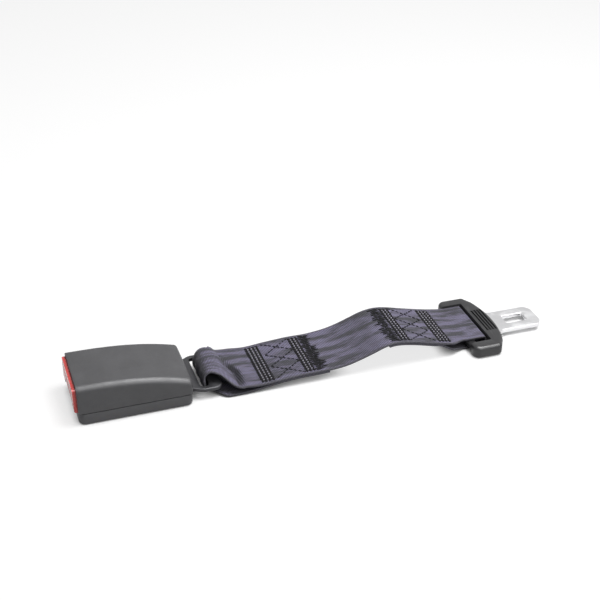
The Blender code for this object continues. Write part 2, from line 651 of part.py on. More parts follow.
def web_path(loop, stations=None):
    """The webbing's middle line, from its left end around both bars to its right end."""
    places = np.arange(LEFT_END, LOWER_START, -CLOSE_STEP)
    points = [lower_point(ANCHOR_X + d) for d in places]
    points += [(ANCHOR_X + x, z) for x, z in LOOP_BELOW + loop + RISE]
    radius = GRIP_BAR_THICK / 2 + WEB_SPACE + WEB_THICK / 2
    turn_x = BODY_X - WEB_SPACE - WEB_THICK / 2 - radius
    points.append((BAR_X - 0.004, BAR_Z + radius + 0.0002))
    for i in range(7):
        a = math.radians(90 - 30 * i)
        points.append((turn_x + radius * math.cos(a), BAR_Z + radius * math.sin(a)))
    points += [(BAR_X, BAR_Z - radius), (BAR_X - 0.006, BAR_Z - radius + 0.0002),
               (BAR_X - 0.0125, BAR_Z - radius + 0.0024), (BAR_X - 0.0185, 0.0062)]
    right_end = LEFT_END + ENDS_APART
    places = np.arange(LOWER_END, right_end + CLOSE_STEP / 2, -CLOSE_STEP)
    points += [lower_point(ANCHOR_X + d) for d in places]
    points.append(lower_point(ANCHOR_X + right_end))
    return smooth(points, web_step, stations)


def bump(value, low, high, soft_low, soft_high):
    """1 between low and high, falling smoothly to 0 over the soft distances outside."""
    out = max((low - value) / soft_low, (value - high) / soft_high, 0)
    return 0.5 + 0.5 * math.cos(math.pi * min(out, 1))


def gathered(run):
    """How much the slot gathers the webbing, from 0 to 1, at a run past the loop's left."""
    return bump(run, -0.0125, 0.013, 0.012, 0.020)


def pinched(x):
    """How far the webbing's near edge lies in at a place along X, as it is drawn aside at the grip."""
    return WEB_PINCH * bump(x, BAR_X - 0.005, BAR_X + FAR, 0.013, FAR)


def folds(run, x, u, upper):
    """How far the webbing lies in from the smooth loop, at a run past its left and a share u across."""
    gather = gathered(run)
    # Its edges curl in, and above the slot the far one more, so that the loop narrows there
    inward = gather * (0.0004 * u ** 4 - 0.0004 * math.cos(3 * math.pi * u))
    above = bump(run, 0.001, 0.013, 0.008, 0.020)
    inward += above * 0.0032 * max((u - 0.2) / 0.8, 0) ** 2
    if not upper:
        return inward
    # A deep crease runs slantwise across the foot of the loop
    crease = 0.0150 - 0.0050 * u
    depth = 0.0015 * max(1 - abs(u + 0.05) ** 3, 0)
    inward += depth * math.exp(-((x - crease) / 0.0026) ** 2)
    # The near edge rolls down beside it
    roll = bump(x, 0.002, 0.013, 0.006, 0.008)
    inward += roll * 0.0018 * max((-u - 0.55) / 0.45, 0) ** 2
    return inward


def webbing():
    near = web_path(LOOP_NEAR)
    far = web_path(LOOP_FAR, len(near))
    last = len(near) - 1
    run = np.r_[0, np.cumsum(np.linalg.norm(np.diff(near, axis=0), axis=1))]
    left = int(np.argmin(near[:, 0]))
    half = WEB_WIDTH / 2
    bm = bmesh.new()
    bmesh.ops.create_grid(bm, x_segments=last, y_segments=WEB_COLUMNS, size=0.5)
    for v in bm.verts:
        i = int(round((v.co.x + 0.5) * last))
        u = 2 * v.co.y
        share = 0.5 - 0.5 * math.cos(math.pi * min(max((u + 0.85) / 1.0, 0), 1))
        path = near + (far - near) * share
        along_path = path[min(i + 1, last)] - path[max(i - 1, 0)]
        along_path /= np.linalg.norm(along_path)
        normal = np.array([-along_path[1], along_path[0]])  # faces out, as the path runs clockwise
        inward = folds(run[i] - run[left], path[i, 0] - ANCHOR_X, u, i > left)
        x, z = path[i] - inward * normal
        across = u * (half + gathered(run[i] - run[left]) * (GATHER_WIDTH / 2 - half))
        v.co = (x, across + pinched(path[i, 0]) * min(u, 0) ** 2, z)
    piece = finish("webbing", to_mesh(bm), (0.17, 0.165, 0.21), 0.75, pivot=(ANCHOR_X, 0, LOOP_Z), sharp=60)
    skin = piece.modifiers.new("thickness", "SOLIDIFY")
    skin.thickness = WEB_THICK
    skin.offset = 0
    skin.use_even_offset = True
    return piece


# Stitching

def thread(name, points, pivot):
    """One run of thread as a tube through the points."""
    curve = bpy.data.curves.new(name, "CURVE")
    curve.dimensions = "3D"
    curve.bevel_depth = THREAD / 2
    curve.bevel_resolution = 1
    curve.use_fill_caps = True
    line = curve.splines.new("POLY")
    line.points.add(len(points) - 1)
    for point, place in zip(line.points, points):
        point.co = (*place, 1)
    holder = bpy.data.objects.new("holder", curve)
    bpy.context.scene.collection.objects.link(holder)
    graph = bpy.context.evaluated_depsgraph_get()
    tube = to_bmesh(bpy.data.meshes.new_from_object(holder.evaluated_get(graph)))
    bpy.data.objects.remove(holder, do_unlink=True)
    bmesh.ops.remove_doubles(tube, verts=tube.verts, dist=1e-6)
    return finish(name, to_mesh(tube), (0.012, 0.012, 0.014), 0.8, pivot=pivot, sharp=60)


def on_top(x, y, up=0.0):
    """A point on the upper ply's upper face, with room for the thread."""
    tilt = ply_tilt(x)
    out = WEB_THICK / 2 + GAP + THREAD / 2 + up
    return (x - out * math.sin(tilt), y, ply_height(x) + out * math.cos(tilt))


def rows(first, count, step, side):
    """Rows across the strap, sewn to and fro, the first from the side given."""
    edge = WEB_WIDTH / 2 - ROW_MARGIN
    points = []
    for i in range(count):
        x = first + step * i
        points += [on_top(x, side * edge), on_top(x, -side * edge)]
        side = -side
    return points


def tack(first, length):
    """The dense band at a ply's end: short strokes along the strap, side by side across it."""
    edge = WEB_WIDTH / 2 - ROW_MARGIN
    count = int(2 * edge / TACK_PITCH)
    points = []
    for i in range(count + 1):
        y = edge - i * 2 * edge / count
        ends = (first, first + length) if i % 2 == 0 else (first + length, first)
        points += [on_top(x, y) for x in ends]
    return points


def zigzag(start, end, shares, up):
    """Slanted stitches between two rows. Each share is a place across the strap, from its far edge."""
    edge = WEB_WIDTH / 2 - ROW_MARGIN
    points = [on_top(start, edge * (1 - 2 * shares[0]), up)]
    for i in range(len(shares) - 1):
        x0, x1 = (start, end) if i % 2 == 0 else (end, start)
        for t in (0.25, 0.5, 0.75, 1.0):
            y = edge * (1 - 2 * (shares[i] + (shares[i + 1] - shares[i]) * t))
            points.append(on_top(x0 + (x1 - x0) * t, y, up))
    return points


def seam(name, start, end, band, direction):
    """One sewn joint: rows and crossing zigzags as two runs of thread, and the dense band at the ply's end."""
    pivot = (ANCHOR_X, 0, LOOP_Z)
    step = direction * ROW_PITCH
    over = THREAD + 0.0002  # the second run lies on the first where they cross
    outer = rows(start - END_ROWS * step, END_ROWS, step, 1)
    thread(name + "_rows", outer + zigzag(start, end, (0.0, 0.33, 0.65, 1.0), over), pivot)
    inner = zigzag(start, end, (0.98, 0.65, 0.32, 0.0), 0)
    thread(name + "_panel", inner + rows(end + step * INNER_START, INNER_ROWS, step, 1), pivot)
    thread(name + "_tack", tack(band, direction * TACK_LENGTH), pivot)


def stitching():
    left = ANCHOR_X + SEAM_START
    seam("seam_left", left, left + PANEL_LENGTH, ANCHOR_X + LEFT_END - TACK_LENGTH - TACK_TO_END, 1)
    right = BAR_X - RIGHT_SEAM_START
    seam("seam_right", right, right - PANEL_LENGTH,
         ANCHOR_X + LEFT_END + ENDS_APART + TACK_LENGTH + TACK_TO_END, -1)


# Tongue and grip

def bow(y):
    """The bowed outer edge of the grip, as an arc through its middle and both its corners."""
    half = GRIP_WIDTH / 2
    radius = (half ** 2 + GRIP_BOW ** 2) / (2 * GRIP_BOW)
    return BOW_X - radius + math.sqrt(radius ** 2 - y ** 2)


def plate_outline(grow):
    """The steel plate in plan: a ring around the slot, a flared neck and the blade."""
    half = BLADE_WIDTH / 2 + grow
    ring = GRIP_SLOT_WIDTH / 2 + SLOT_LINING + RING_STEEL + grow
    back = BAR_X - RING_STEEL / 2 - grow
    root = BODY_X + SLOT_LIP + RING_STEEL + grow
    flare = BOW_X + 0.0045
    side = [(back, ring - 0.002), (back + 0.002, ring), (root - 0.003, ring), (root, ring - 0.004),
            (root + 0.002, half + 0.010)]
    for i in range(7):
        t = i / 6
        side.append((root + 0.002 + (flare - root - 0.002) * (0.25 + 0.75 * t),
                     half + 0.0075 * (1 - t) ** 2))
    if grow:
        side.append((TIP_X + 0.01, half))
    else:
        cut = 0.0042
        side += [(TIP_X - cut - 0.0025, half), (TIP_X - cut * 0.62, half - cut * 0.45),
                 (TIP_X - cut * 0.16, half - cut * 1.25), (TIP_X, half - cut * 1.9)]
    return side + [(x, -y) for x, y in reversed(side)]


def plate_slot(shrink):
    half = GRIP_SLOT_WIDTH / 2 + SLOT_LINING - shrink
    return rounded(BAR_X + RING_STEEL / 2 + shrink, BODY_X + SLOT_LIP - shrink, -half, half, SLOT_LINING)


def tongue_plate():
    low = BAR_Z - TONGUE_THICK / 2
    high = BAR_Z + TONGUE_THICK / 2
    plate = prism(plate_outline(0), low, high)
    bevel_where(plate, lambda e: min(v.co.x for v in e.verts) > BOW_X + 0.004
                and abs(e.verts[0].co.z - e.verts[1].co.z) < 1e-6, BLADE_CHAMFER, 1)
    x1 = TIP_X - WINDOW_TO_TIP
    half = WINDOW_WIDTH / 2
    window = prism(rounded(x1 - WINDOW_LENGTH, x1, -half, half, 0.0016), 0, 0.02)
    slot = prism(plate_slot(0), 0, 0.02)
    mesh = combine(plate, [window, slot], "DIFFERENCE")
    return finish("tongue_plate", mesh, (0.78, 0.78, 0.8), 0.22, 1.0, pivot=(BAR_X, 0, BAR_Z))


def grip_outline():
    half = GRIP_WIDTH / 2
    back = BAR_X - BAR_HALF + 0.0006
    corner = 0.0050
    side = []
    for i in range(5):
        turn = math.radians(180 - 90 * i / 4)
        side.append((back + corner + corner * math.cos(turn), half - corner + corner * math.sin(turn)))
    out = 0.0034
    for i in range(5):
        turn = math.radians(90 - 75 * i / 4)
        side.append((bow(half) - out + out * math.cos(turn), half - out + out * math.sin(turn)))
    for i in range(1, 9):
        y = (half - 2 * out) * (1 - i / 9)
        side.append((bow(y), y))
    return side + [(x, -y) for x, y in reversed(side)]


def tongue_grip():
    block = prism(grip_outline(), 0, GRIP_HEIGHT)
    bevel_where(block, lambda e: abs(e.verts[0].co.z - e.verts[1].co.z) < 1e-6, GRIP_ROUND, 3)
    half = GRIP_SLOT_WIDTH / 2
    mouth = prism(rounded(BAR_X - 0.03, BODY_X, -half, half, 0.0012), -0.01, 0.03)
    cuts = [mouth]
    for i in range(GROOVES):
        x = BODY_X + 0.0029 + GROOVE_PITCH * i
        cuts.append(box(x - GROOVE_WIDTH / 2, x + GROOVE_WIDTH / 2, -GROOVE_LENGTH / 2, GROOVE_LENGTH / 2,
                        GRIP_HEIGHT - GROOVE_DEPTH, GRIP_HEIGHT + 0.01))
    frame = to_bmesh(combine(block, cuts, "DIFFERENCE"))
    # The bar that the webbing goes around, with round edges
    radius = GRIP_BAR_THICK / 2
    outline = []
    for side in (1, -1):
        for i in range(9):
            turn = math.radians(90 - 180 * i / 8) if side > 0 else math.radians(270 - 180 * i / 8)
            outline.append((BAR_X + side * (BAR_HALF - radius) + radius * math.cos(turn),
                            BAR_Z + radius * math.sin(turn)))
    reach = half + 0.004
    bar = prism(outline, -reach, reach, "XZ")
    frame = to_bmesh(combine(frame, [bar], "UNION"))
    # The pocket that the steel lies in, open where the blade comes out
    pocket = prism(plate_outline(GAP), BAR_Z - TONGUE_THICK / 2 - GAP, BAR_Z + TONGUE_THICK / 2 + GAP)
    inside = prism(plate_slot(GAP), 0, 0.02)
    steel = to_bmesh(combine(pocket, [inside], "DIFFERENCE"))
    mesh = combine(frame, [steel], "DIFFERENCE")
    return finish("tongue_grip", mesh, (0.085, 0.085, 0.09), 0.4, pivot=(BAR_X, 0, BAR_Z))


def main():
    clear_scene()
    top_cover()
    bottom_cover()
    press_button()
    lock_bar()
    buckle_frame()
    latch_plate()
    ejector()
    springs()
    latch_spring()
    webbing()
    stitching()
    tongue_plate()
    tongue_grip()


main()
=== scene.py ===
# %% [markdown]
# # A seat belt extender, dressed for its picture
#
# The extender has three parts: a push button buckle, a short strap of webbing sewn back on itself at both
# ends, and a steel tongue in a moulded grip. Its solids were made and packed before, and this script loads
# them as a fixed frame. It then builds the shapes and finishes that the eye sees in the same places.

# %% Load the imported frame
import json
import math
import random

import bmesh
import bpy
import numpy as np
from mathutils import Matrix, Vector

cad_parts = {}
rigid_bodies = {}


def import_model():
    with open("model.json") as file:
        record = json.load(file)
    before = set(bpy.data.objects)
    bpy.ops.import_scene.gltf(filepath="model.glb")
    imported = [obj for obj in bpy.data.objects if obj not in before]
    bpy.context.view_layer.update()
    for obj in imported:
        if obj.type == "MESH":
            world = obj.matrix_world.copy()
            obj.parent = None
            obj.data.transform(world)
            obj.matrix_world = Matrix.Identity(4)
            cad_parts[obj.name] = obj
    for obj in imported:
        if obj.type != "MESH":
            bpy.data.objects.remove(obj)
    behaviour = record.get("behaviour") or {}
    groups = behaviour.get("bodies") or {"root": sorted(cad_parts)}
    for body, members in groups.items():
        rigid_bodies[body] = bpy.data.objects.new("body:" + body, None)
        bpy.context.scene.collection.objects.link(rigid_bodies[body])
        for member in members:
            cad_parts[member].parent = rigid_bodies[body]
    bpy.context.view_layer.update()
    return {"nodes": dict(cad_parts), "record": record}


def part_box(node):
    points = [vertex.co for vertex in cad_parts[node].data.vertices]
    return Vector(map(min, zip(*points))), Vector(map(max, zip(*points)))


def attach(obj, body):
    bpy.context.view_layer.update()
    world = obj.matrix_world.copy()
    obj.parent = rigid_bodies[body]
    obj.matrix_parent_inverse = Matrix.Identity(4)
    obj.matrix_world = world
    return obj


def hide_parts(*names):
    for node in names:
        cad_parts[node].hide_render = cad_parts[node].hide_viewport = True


for old in list(bpy.data.objects):
    bpy.data.objects.remove(old, do_unlink=True)
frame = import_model()
scene = bpy.context.scene

# %% [markdown]
# ## Places that the frame gives
#
# Every piece has to sit where its solid does, so the main places are read from the frame and not typed in.
# The joints give the two bars that the webbing goes around. The boxes of the solids give the buckle's ends.

# %% Read the main places
JOINTS = {joint["name"]: joint for joint in frame["record"]["behaviour"]["joints"]}
ANCHOR_X = JOINTS["strap_swivel"]["pos_m"][0]  # the bar that the slack loop goes around
BAR_X, _, BAR_Z = JOINTS["tongue_swivel"]["pos_m"]  # the bar inside the grip
base_low, base_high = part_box("buckle_bottom_cover")
FRONT = base_low.x
REAR = base_high.x
LENGTH = REAR - FRONT
BASE_WIDTH = base_high.y - base_low.y
top_low, top_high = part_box("buckle_top_cover")
FRONT_HEIGHT = top_high.z
grip_low, grip_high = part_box("tongue_grip")
BOW_X = grip_high.x
GRIP_WIDTH = grip_high.y - grip_low.y
GRIP_HEIGHT = grip_high.z
plate_low, plate_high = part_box("tongue_plate")
TIP_X = plate_high.x
print("buckle", round(LENGTH, 4), "anchor bar at", round(ANCHOR_X, 4), "tongue bar at", round(BAR_X, 4))

# %% [markdown]
# ## The camera
#
# The picture looks down at the extender from its near left. A lens of about 70 mm at 80 cm gives the same
# mild perspective. Its place and its three turns were found from the picture's own corners and stitch rows.

# %% Place the camera
PITCH = math.radians(31.32)
YAW = math.radians(19.2)
ROLL = math.radians(0.78)
ahead = Vector((math.sin(YAW) * math.cos(PITCH), math.cos(YAW) * math.cos(PITCH), -math.sin(PITCH)))
level = Vector((math.cos(YAW), -math.sin(YAW), 0))
above = level.cross(ahead)
right = math.cos(ROLL) * level + math.sin(ROLL) * above
upward = math.cos(ROLL) * above - math.sin(ROLL) * level
lens = bpy.data.cameras.new("picture_camera")
lens.sensor_width = 36
lens.lens = 69.78
camera = bpy.data.objects.new("picture_camera", lens)
turned = Matrix((right, upward, -ahead)).transposed().to_4x4()
turned.translation = (-0.23398, -0.63639, 0.46228)
camera.matrix_world = turned
scene.collection.objects.link(camera)
scene.camera = camera
print("camera is", round(camera.location.length, 3), "m from the middle")

# %% [markdown]
# ## Small tools for nodes
#
# A material is a tree of nodes. Short helpers add a node, set it and join its wires, which keeps the
# recipes below short enough to read.

# %% Helpers for nodes
def feed(tree, node, feeds):
    """Sets a node's inputs. Each feed is a value or the output that it takes."""
    for socket, value in feeds.items():
        if isinstance(value, bpy.types.NodeSocket):
            tree.links.new(value, node.inputs[socket])
        else:
            node.inputs[socket].default_value = value
    return node


def put(tree, kind, feeds=None, **settings):
    """Adds one shader node."""
    made = tree.nodes.new("ShaderNode" + kind)
    for name, value in settings.items():
        setattr(made, name, value)
    return feed(tree, made, feeds or {})


def noise(tree, where, scale, detail, **more):
    feeds = {"Vector": where, "Scale": scale, "Detail": detail, **more}
    return put(tree, "TexNoise", feeds).outputs[0]


def sum_of(tree, operation, *values, clamp=False):
    return put(tree, "Math", dict(enumerate(values)), operation=operation, use_clamp=clamp).outputs[0]


def times(tree, *values, clamp=False):
    return sum_of(tree, "MULTIPLY", *values, clamp=clamp)


def spread(tree, value, low, high, to_low=0.0, to_high=1.0):
    """Reads a value's part between low and high as one between to_low and to_high."""
    feeds = {0: value, 1: low, 2: high, 3: to_low, 4: to_high}
    return put(tree, "MapRange", feeds, interpolation_type="SMOOTHSTEP").outputs[0]


def blend_colours(tree, share, first, second):
    return put(tree, "Mix", {0: share, 6: first, 7: second}, data_type="RGBA").outputs[2]


def new_group(title, inputs, outputs):
    """An empty shader group with named number sockets, and its two end nodes."""
    group = bpy.data.node_groups.new(title, "ShaderNodeTree")
    for name, value in inputs.items():
        socket = group.interface.new_socket(name, in_out="INPUT", socket_type="NodeSocketFloat")
        socket.default_value = value
    for name in outputs:
        group.interface.new_socket(name, in_out="OUTPUT", socket_type="NodeSocketFloat")
    return group, group.nodes.new("NodeGroupInput"), group.nodes.new("NodeGroupOutput")


def use_group(tree, group, **values):
    feeds = {name.replace("_", " "): value for name, value in values.items()}
    return put(tree, "Group", feeds, node_tree=group)


# %% [markdown]
# ## Moulded grain
#
# The mould of such a cover is etched, so the plastic has a fine leathery grain. A noise and small soft
# cells give its height. A slow cloud goes with it, because a moulding is never quite even in colour.

# %% Build the grain group
GRAIN, enter, leave = new_group("Moulded grain", {"Per metre": 2600.0}, ["Height", "Cloud"])
where = put(GRAIN, "TexCoord").outputs["Object"]
fine = noise(GRAIN, where, enter.outputs[0], 2.0)
cells = put(GRAIN, "TexVoronoi", {"Vector": where, "Scale": enter.outputs[0]}, feature="SMOOTH_F1")
cloud = noise(GRAIN, where, 60.0, 4.0, Roughness=0.6)
feed(GRAIN, leave, {"Height": sum_of(GRAIN, "ADD", fine, cells.outputs[0]),
                    "Cloud": spread(GRAIN, cloud, 0.3, 0.7)})
print("grain group:", len(GRAIN.nodes), "nodes")

# %% [markdown]
# ## Edge wear
#
# Handling polishes the edges first. The Bevel node gives the normal that a rounder edge would have, and
# where it leaves the true normal there is an edge. A noise breaks the line up, so that it looks rubbed.

# %% Build the edge wear group
WEAR, enter, leave = new_group("Edge wear", {"Strength": 6.0}, ["Edge"])
round_normal = put(WEAR, "Bevel", {"Radius": 0.0006}, samples=4).outputs["Normal"]
true_normal = put(WEAR, "NewGeometry").outputs["Normal"]
alike = put(WEAR, "VectorMath", {0: round_normal, 1: true_normal}, operation="DOT_PRODUCT").outputs["Value"]
where = put(WEAR, "TexCoord").outputs["Object"]
rub = noise(WEAR, where, 420.0, 4.0)
apart = times(WEAR, sum_of(WEAR, "SUBTRACT", 1.0, alike), enter.outputs[0])
feed(WEAR, leave, {"Edge": times(WEAR, apart, spread(WEAR, rub, 0.35, 0.65), clamp=True)})

# %% [markdown]
# ## Dust and smudges
#
# Fine dust settles on what faces up, and fingers leave broad dull patches. One group gives both as masks,
# and each material takes as much of them as suits it.

# %% Build the dust group
DUST, enter, leave = new_group("Dust and smudges", {"Dust": 0.5}, ["Dust", "Smudge"])
where = put(DUST, "TexCoord").outputs["Object"]
up = put(DUST, "SeparateXYZ", {0: put(DUST, "NewGeometry").outputs["Normal"]}).outputs[2]
specks = noise(DUST, where, 1500.0, 3.0)
settled = times(DUST, spread(DUST, up, 0.3, 1.0), spread(DUST, specks, 0.5, 0.8))
touch = noise(DUST, where, 110.0, 3.0, Distortion=0.8)
feed(DUST, leave, {"Dust": times(DUST, settled, enter.outputs[0]),
                   "Smudge": spread(DUST, touch, 0.45, 0.7)})

# %% [markdown]
# ## Narrow places
# ## Painted shade in narrow places
# Little light comes out of seams, grooves and the places between stitches, so their shade is painted into
# the colour. The Ambient Occlusion node tells how closed in a place is, and the group turns that into a
# mask of painted shade.

# %% Build the painted crevice shade group
SHADE_IN_CREVICES, enter, leave = new_group("Narrow places", {"Reach": 0.002, "Open": 0.75}, ["Closed"])
clear = put(SHADE_IN_CREVICES, "AmbientOcclusion", {"Distance": enter.outputs["Reach"]}, samples=6).outputs["AO"]
feed(SHADE_IN_CREVICES, leave, {"Closed": spread(SHADE_IN_CREVICES, clear, 0.2, enter.outputs["Open"], 1.0, 0.0)})

# %% [markdown]
# ## The woven surface
#
# Belt webbing has fine ribs across it, about one a millimetre, with the long yarns showing in them. The
# strap carries a map of its own flat surface in millimetres, so that the weave follows each fold. Long
# patches and streaks are painted lighter and darker, partly a tone that varies along the strap and partly
# painted sheen for how they catch the light, and the two edges are closer.

# %% Build the weave group
def ridges(tree, value, pace):
    """A soft wave from 0 to 1 over a value, at a pace in radians for each unit of it."""
    swing = sum_of(tree, "SINE", times(tree, value, pace))
    return sum_of(tree, "MULTIPLY_ADD", swing, 0.5, 0.5)


WEAVE, enter, leave = new_group("Belt weave", {"Rib": 1.0}, ["Height", "Rib", "Band", "Edge"])
flat_map = put(WEAVE, "SeparateXYZ", {0: put(WEAVE, "UVMap", uv_map="weave").outputs[0]})
across, along = flat_map.outputs[0], flat_map.outputs[1]
slant = sum_of(WEAVE, "PINGPONG", times(WEAVE, across, 0.21), 1.0)
turn = sum_of(WEAVE, "ADD", sum_of(WEAVE, "DIVIDE", along, enter.outputs[0]), times(WEAVE, slant, 0.12))
rib = ridges(WEAVE, turn, 2 * math.pi)
yarn = spread(WEAVE, ridges(WEAVE, across, 11.5), 0.0, 1.0, 0.6, 1.0)
# The streaks are partly the webbing's own tone and partly painted sheen.
stretched = {0: times(WEAVE, across, 0.20), 1: times(WEAVE, along, 0.028)}
long_place = put(WEAVE, "CombineXYZ", stretched).outputs[0]
patches = noise(WEAVE, long_place, 1.0, 1.0)
streaks = noise(WEAVE, long_place, 5.0, 2.0)
drift = sum_of(WEAVE, "MULTIPLY_ADD", streaks, 0.35, times(WEAVE, patches, 0.65))
feed(WEAVE, leave, {"Height": times(WEAVE, rib, yarn), "Rib": rib,
                    "Band": spread(WEAVE, drift, 0.40, 0.58),
                    "Edge": spread(WEAVE, sum_of(WEAVE, "ABSOLUTE", across), 22.4, 23.4)})
print("weave group:", len(WEAVE.nodes), "nodes")

# %% [markdown]
# ## Finishes
#
# Each finish is one material. It starts from a colour, takes the shared effects with its own values, and
# ends in the Principled shader. The colours are written as light, not as screen values.

# %% Helpers for finishes
def new_finish(name, roughness, metallic=0.0):
    """A material, its tree and its Principled shader."""
    made = bpy.data.materials.new(name)
    made.use_nodes = True
    tree = made.node_tree
    surface = tree.nodes["Principled BSDF"]
    return made, tree, feed(tree, surface, {"Roughness": roughness, "Metallic": metallic})


def raise_surface(tree, surface, height, deep):
    """A bump whose height is a distance in metres."""
    bump = put(tree, "Bump", {"Height": height, "Distance": deep, "Strength": 1.0})
    feed(tree, surface, {"Normal": bump.outputs[0]})


def moulded(name, dark, light, worn, roughness, grain, deep, wear, dust):
    """Moulded plastic: a clouded colour, rubbed edges, dust and smudges, painted shade in narrow places,
    and an etched grain.
    """
    made, tree, surface = new_finish(name, roughness)
    skin = use_group(tree, GRAIN, Per_metre=grain)
    rubbed = use_group(tree, WEAR, Strength=wear).outputs[0]
    dirt = use_group(tree, DUST, Dust=dust)
    colour = blend_colours(tree, skin.outputs["Cloud"], (*dark, 1), (*light, 1))
    colour = blend_colours(tree, times(tree, rubbed, 0.5), colour, (*worn, 1))
    colour = blend_colours(tree, dirt.outputs["Dust"], colour, (0.36, 0.35, 0.34, 1))
    # Painted shade: narrow places such as seams and grooves are painted towards black.
    closed = use_group(tree, SHADE_IN_CREVICES, Reach=0.0018).outputs[0]
    colour = blend_colours(tree, times(tree, closed, 0.85), colour, (0.006, 0.006, 0.006, 1))
    dull = spread(tree, dirt.outputs["Smudge"], 0.0, 1.0, roughness, roughness + 0.09)
    shine = sum_of(tree, "MULTIPLY_ADD", rubbed, -0.10, dull)
    feed(tree, surface, {"Base Color": colour, "Roughness": shine})
    raise_surface(tree, surface, skin.outputs["Height"], deep)
    return made


# %% The plastics
COVER = moulded("Cover plastic", (0.070, 0.070, 0.074), (0.086, 0.086, 0.091), (0.13, 0.13, 0.14),
                0.44, 2600, 0.000022, 2.0, 0.06)
RED = moulded("Red button plastic", (0.72, 0.052, 0.045), (0.78, 0.068, 0.058), (0.86, 0.16, 0.14),
              0.24, 3400, 0.000003, 1.0, 0.01)
GRIP = moulded("Grip plastic", (0.032, 0.032, 0.034), (0.041, 0.041, 0.043), (0.09, 0.09, 0.10),
               0.30, 2400, 0.000020, 2.0, 0.05)
BLACK = moulded("Slide plastic", (0.016, 0.016, 0.018), (0.024, 0.024, 0.026), (0.06, 0.06, 0.06),
                0.45, 3000, 0.00002, 4.0, 0.05)
print("plastics:", COVER.name, RED.name, GRIP.name, BLACK.name)

# %% [markdown]
# ## Steels
#
# The tongue is plated and polished, so it shows fine rolling lines and a few scuffs where it goes in and
# out of a buckle. The anchor plate has a dark coat that rubs to bare steel at its edges. The springs are
# bare wire.

# %% The steels
def steel(name, colour, worn, roughness, metallic, line, deep, wear):
    """Steel with rolling lines along X, scuffs, and edges rubbed to another colour."""
    made, tree, surface = new_finish(name, roughness, metallic)
    where = put(tree, "TexCoord").outputs["Object"]
    drawn = put(tree, "Mapping", {"Vector": where, "Scale": (12.0, 1.0, 1.0)}).outputs[0]
    lines = noise(tree, drawn, line, 4.0, Roughness=0.65)
    aslant = {"Vector": where, "Rotation": (0, 0, 0.5), "Scale": (1.0, 14.0, 1.0)}
    scuff = noise(tree, put(tree, "Mapping", aslant).outputs[0], 160.0, 5.0)
    rubbed = use_group(tree, WEAR, Strength=wear).outputs[0]
    dirt = use_group(tree, DUST, Dust=0.0)
    deeper = [c * 0.93 for c in colour]
    toned = blend_colours(tree, spread(tree, lines, 0.3, 0.7), (*deeper, 1), (*colour, 1))
    toned = blend_colours(tree, times(tree, rubbed, 0.7), toned, (*worn, 1))
    dull = spread(tree, dirt.outputs["Smudge"], 0.0, 1.0, roughness, roughness + 0.10)
    shine = sum_of(tree, "MULTIPLY_ADD", spread(tree, scuff, 0.60, 0.72), 0.12, dull)
    feed(tree, surface, {"Base Color": toned, "Roughness": shine})
    raise_surface(tree, surface, lines, deep)
    return made


PLATED = steel("Plated steel", (0.84, 0.84, 0.85), (0.90, 0.90, 0.90), 0.30, 1.0, 500.0, 0.0000004, 0.2)
COATED = steel("Coated steel", (0.055, 0.055, 0.060), (0.30, 0.30, 0.31), 0.40, 0.40, 500.0, 0.000006, 1.5)
WIRE = steel("Spring wire", (0.55, 0.55, 0.57), (0.7, 0.7, 0.7), 0.28, 1.0, 2000.0, 0.000004, 1.0)

# %% [markdown]
# ## Webbing and thread
#
# The webbing is spun polyester in a blue grey. Its streaks are painted between dark grey and lilac, partly
# its own tone and partly painted sheen where it catches the light. The valleys between its ribs are painted
# darker as painted shade, and so are its sharp fold and the side it turns to the buckle, which see little
# of the lamp. A little sheen stands for the loose fibres. The sewing thread is black and twisted. Small
# stitches between the rows are marked on the mesh as knots and painted light grey.

# %% The fabrics
FABRIC, tree, surface = new_finish("Belt webbing", 0.62)
woven = use_group(tree, WEAVE, Rib=1.0)
# Painted sheen and tone: streaks go from dark grey to lilac.
colour = blend_colours(tree, woven.outputs["Band"], (0.036, 0.036, 0.045, 1), (0.240, 0.218, 0.345, 1))
colour = blend_colours(tree, woven.outputs["Edge"], colour, (0.120, 0.116, 0.146, 1))
# Painted shade: the valleys between the ribs are painted darker.
valley_shade = spread(tree, woven.outputs["Height"], 0.0, 0.65, 0.90, 0.0)
colour = blend_colours(tree, valley_shade, colour, (0.022, 0.021, 0.028, 1))
# Painted shade: the crease at the loop's foot, the side that faces the buckle and narrow places are painted
# near black.
fold = put(tree, "SeparateXYZ", {0: put(tree, "UVMap", uv_map="fold").outputs[0]}).outputs[0]
facing = put(tree, "SeparateXYZ", {0: put(tree, "NewGeometry").outputs["Normal"]}).outputs[0]
shaded = sum_of(tree, "MAXIMUM", fold, spread(tree, facing, -0.18, -0.66))
closed = use_group(tree, SHADE_IN_CREVICES, Reach=0.012, Open=0.95).outputs[0]
dark = times(tree, sum_of(tree, "MAXIMUM", shaded, closed), 0.88)
colour = blend_colours(tree, dark, colour, (0.008, 0.008, 0.010, 1))
dull = spread(tree, woven.outputs["Rib"], 0.0, 1.0, 0.78, 0.50)
feed(tree, surface, {"Base Color": colour, "Roughness": dull, "Sheen Weight": 0.08,
                     "Sheen Roughness": 0.4, "Sheen Tint": (0.80, 0.76, 1.0, 1)})
raise_surface(tree, surface, woven.outputs["Height"], 0.00026)

THREAD, tree, surface = new_finish("Sewing thread", 0.6)
where = put(tree, "TexCoord").outputs["Object"]
knot = put(tree, "Attribute", attribute_name="knot").outputs["Fac"]
strands = {"Vector": where, "Scale": 900.0, "Distortion": 1.5}
twist = put(tree, "TexWave", strands, bands_direction="DIAGONAL")
fuzz = noise(tree, where, 700.0, 2.0)
black = blend_colours(tree, fuzz, (0.004, 0.004, 0.005, 1), (0.012, 0.012, 0.014, 1))
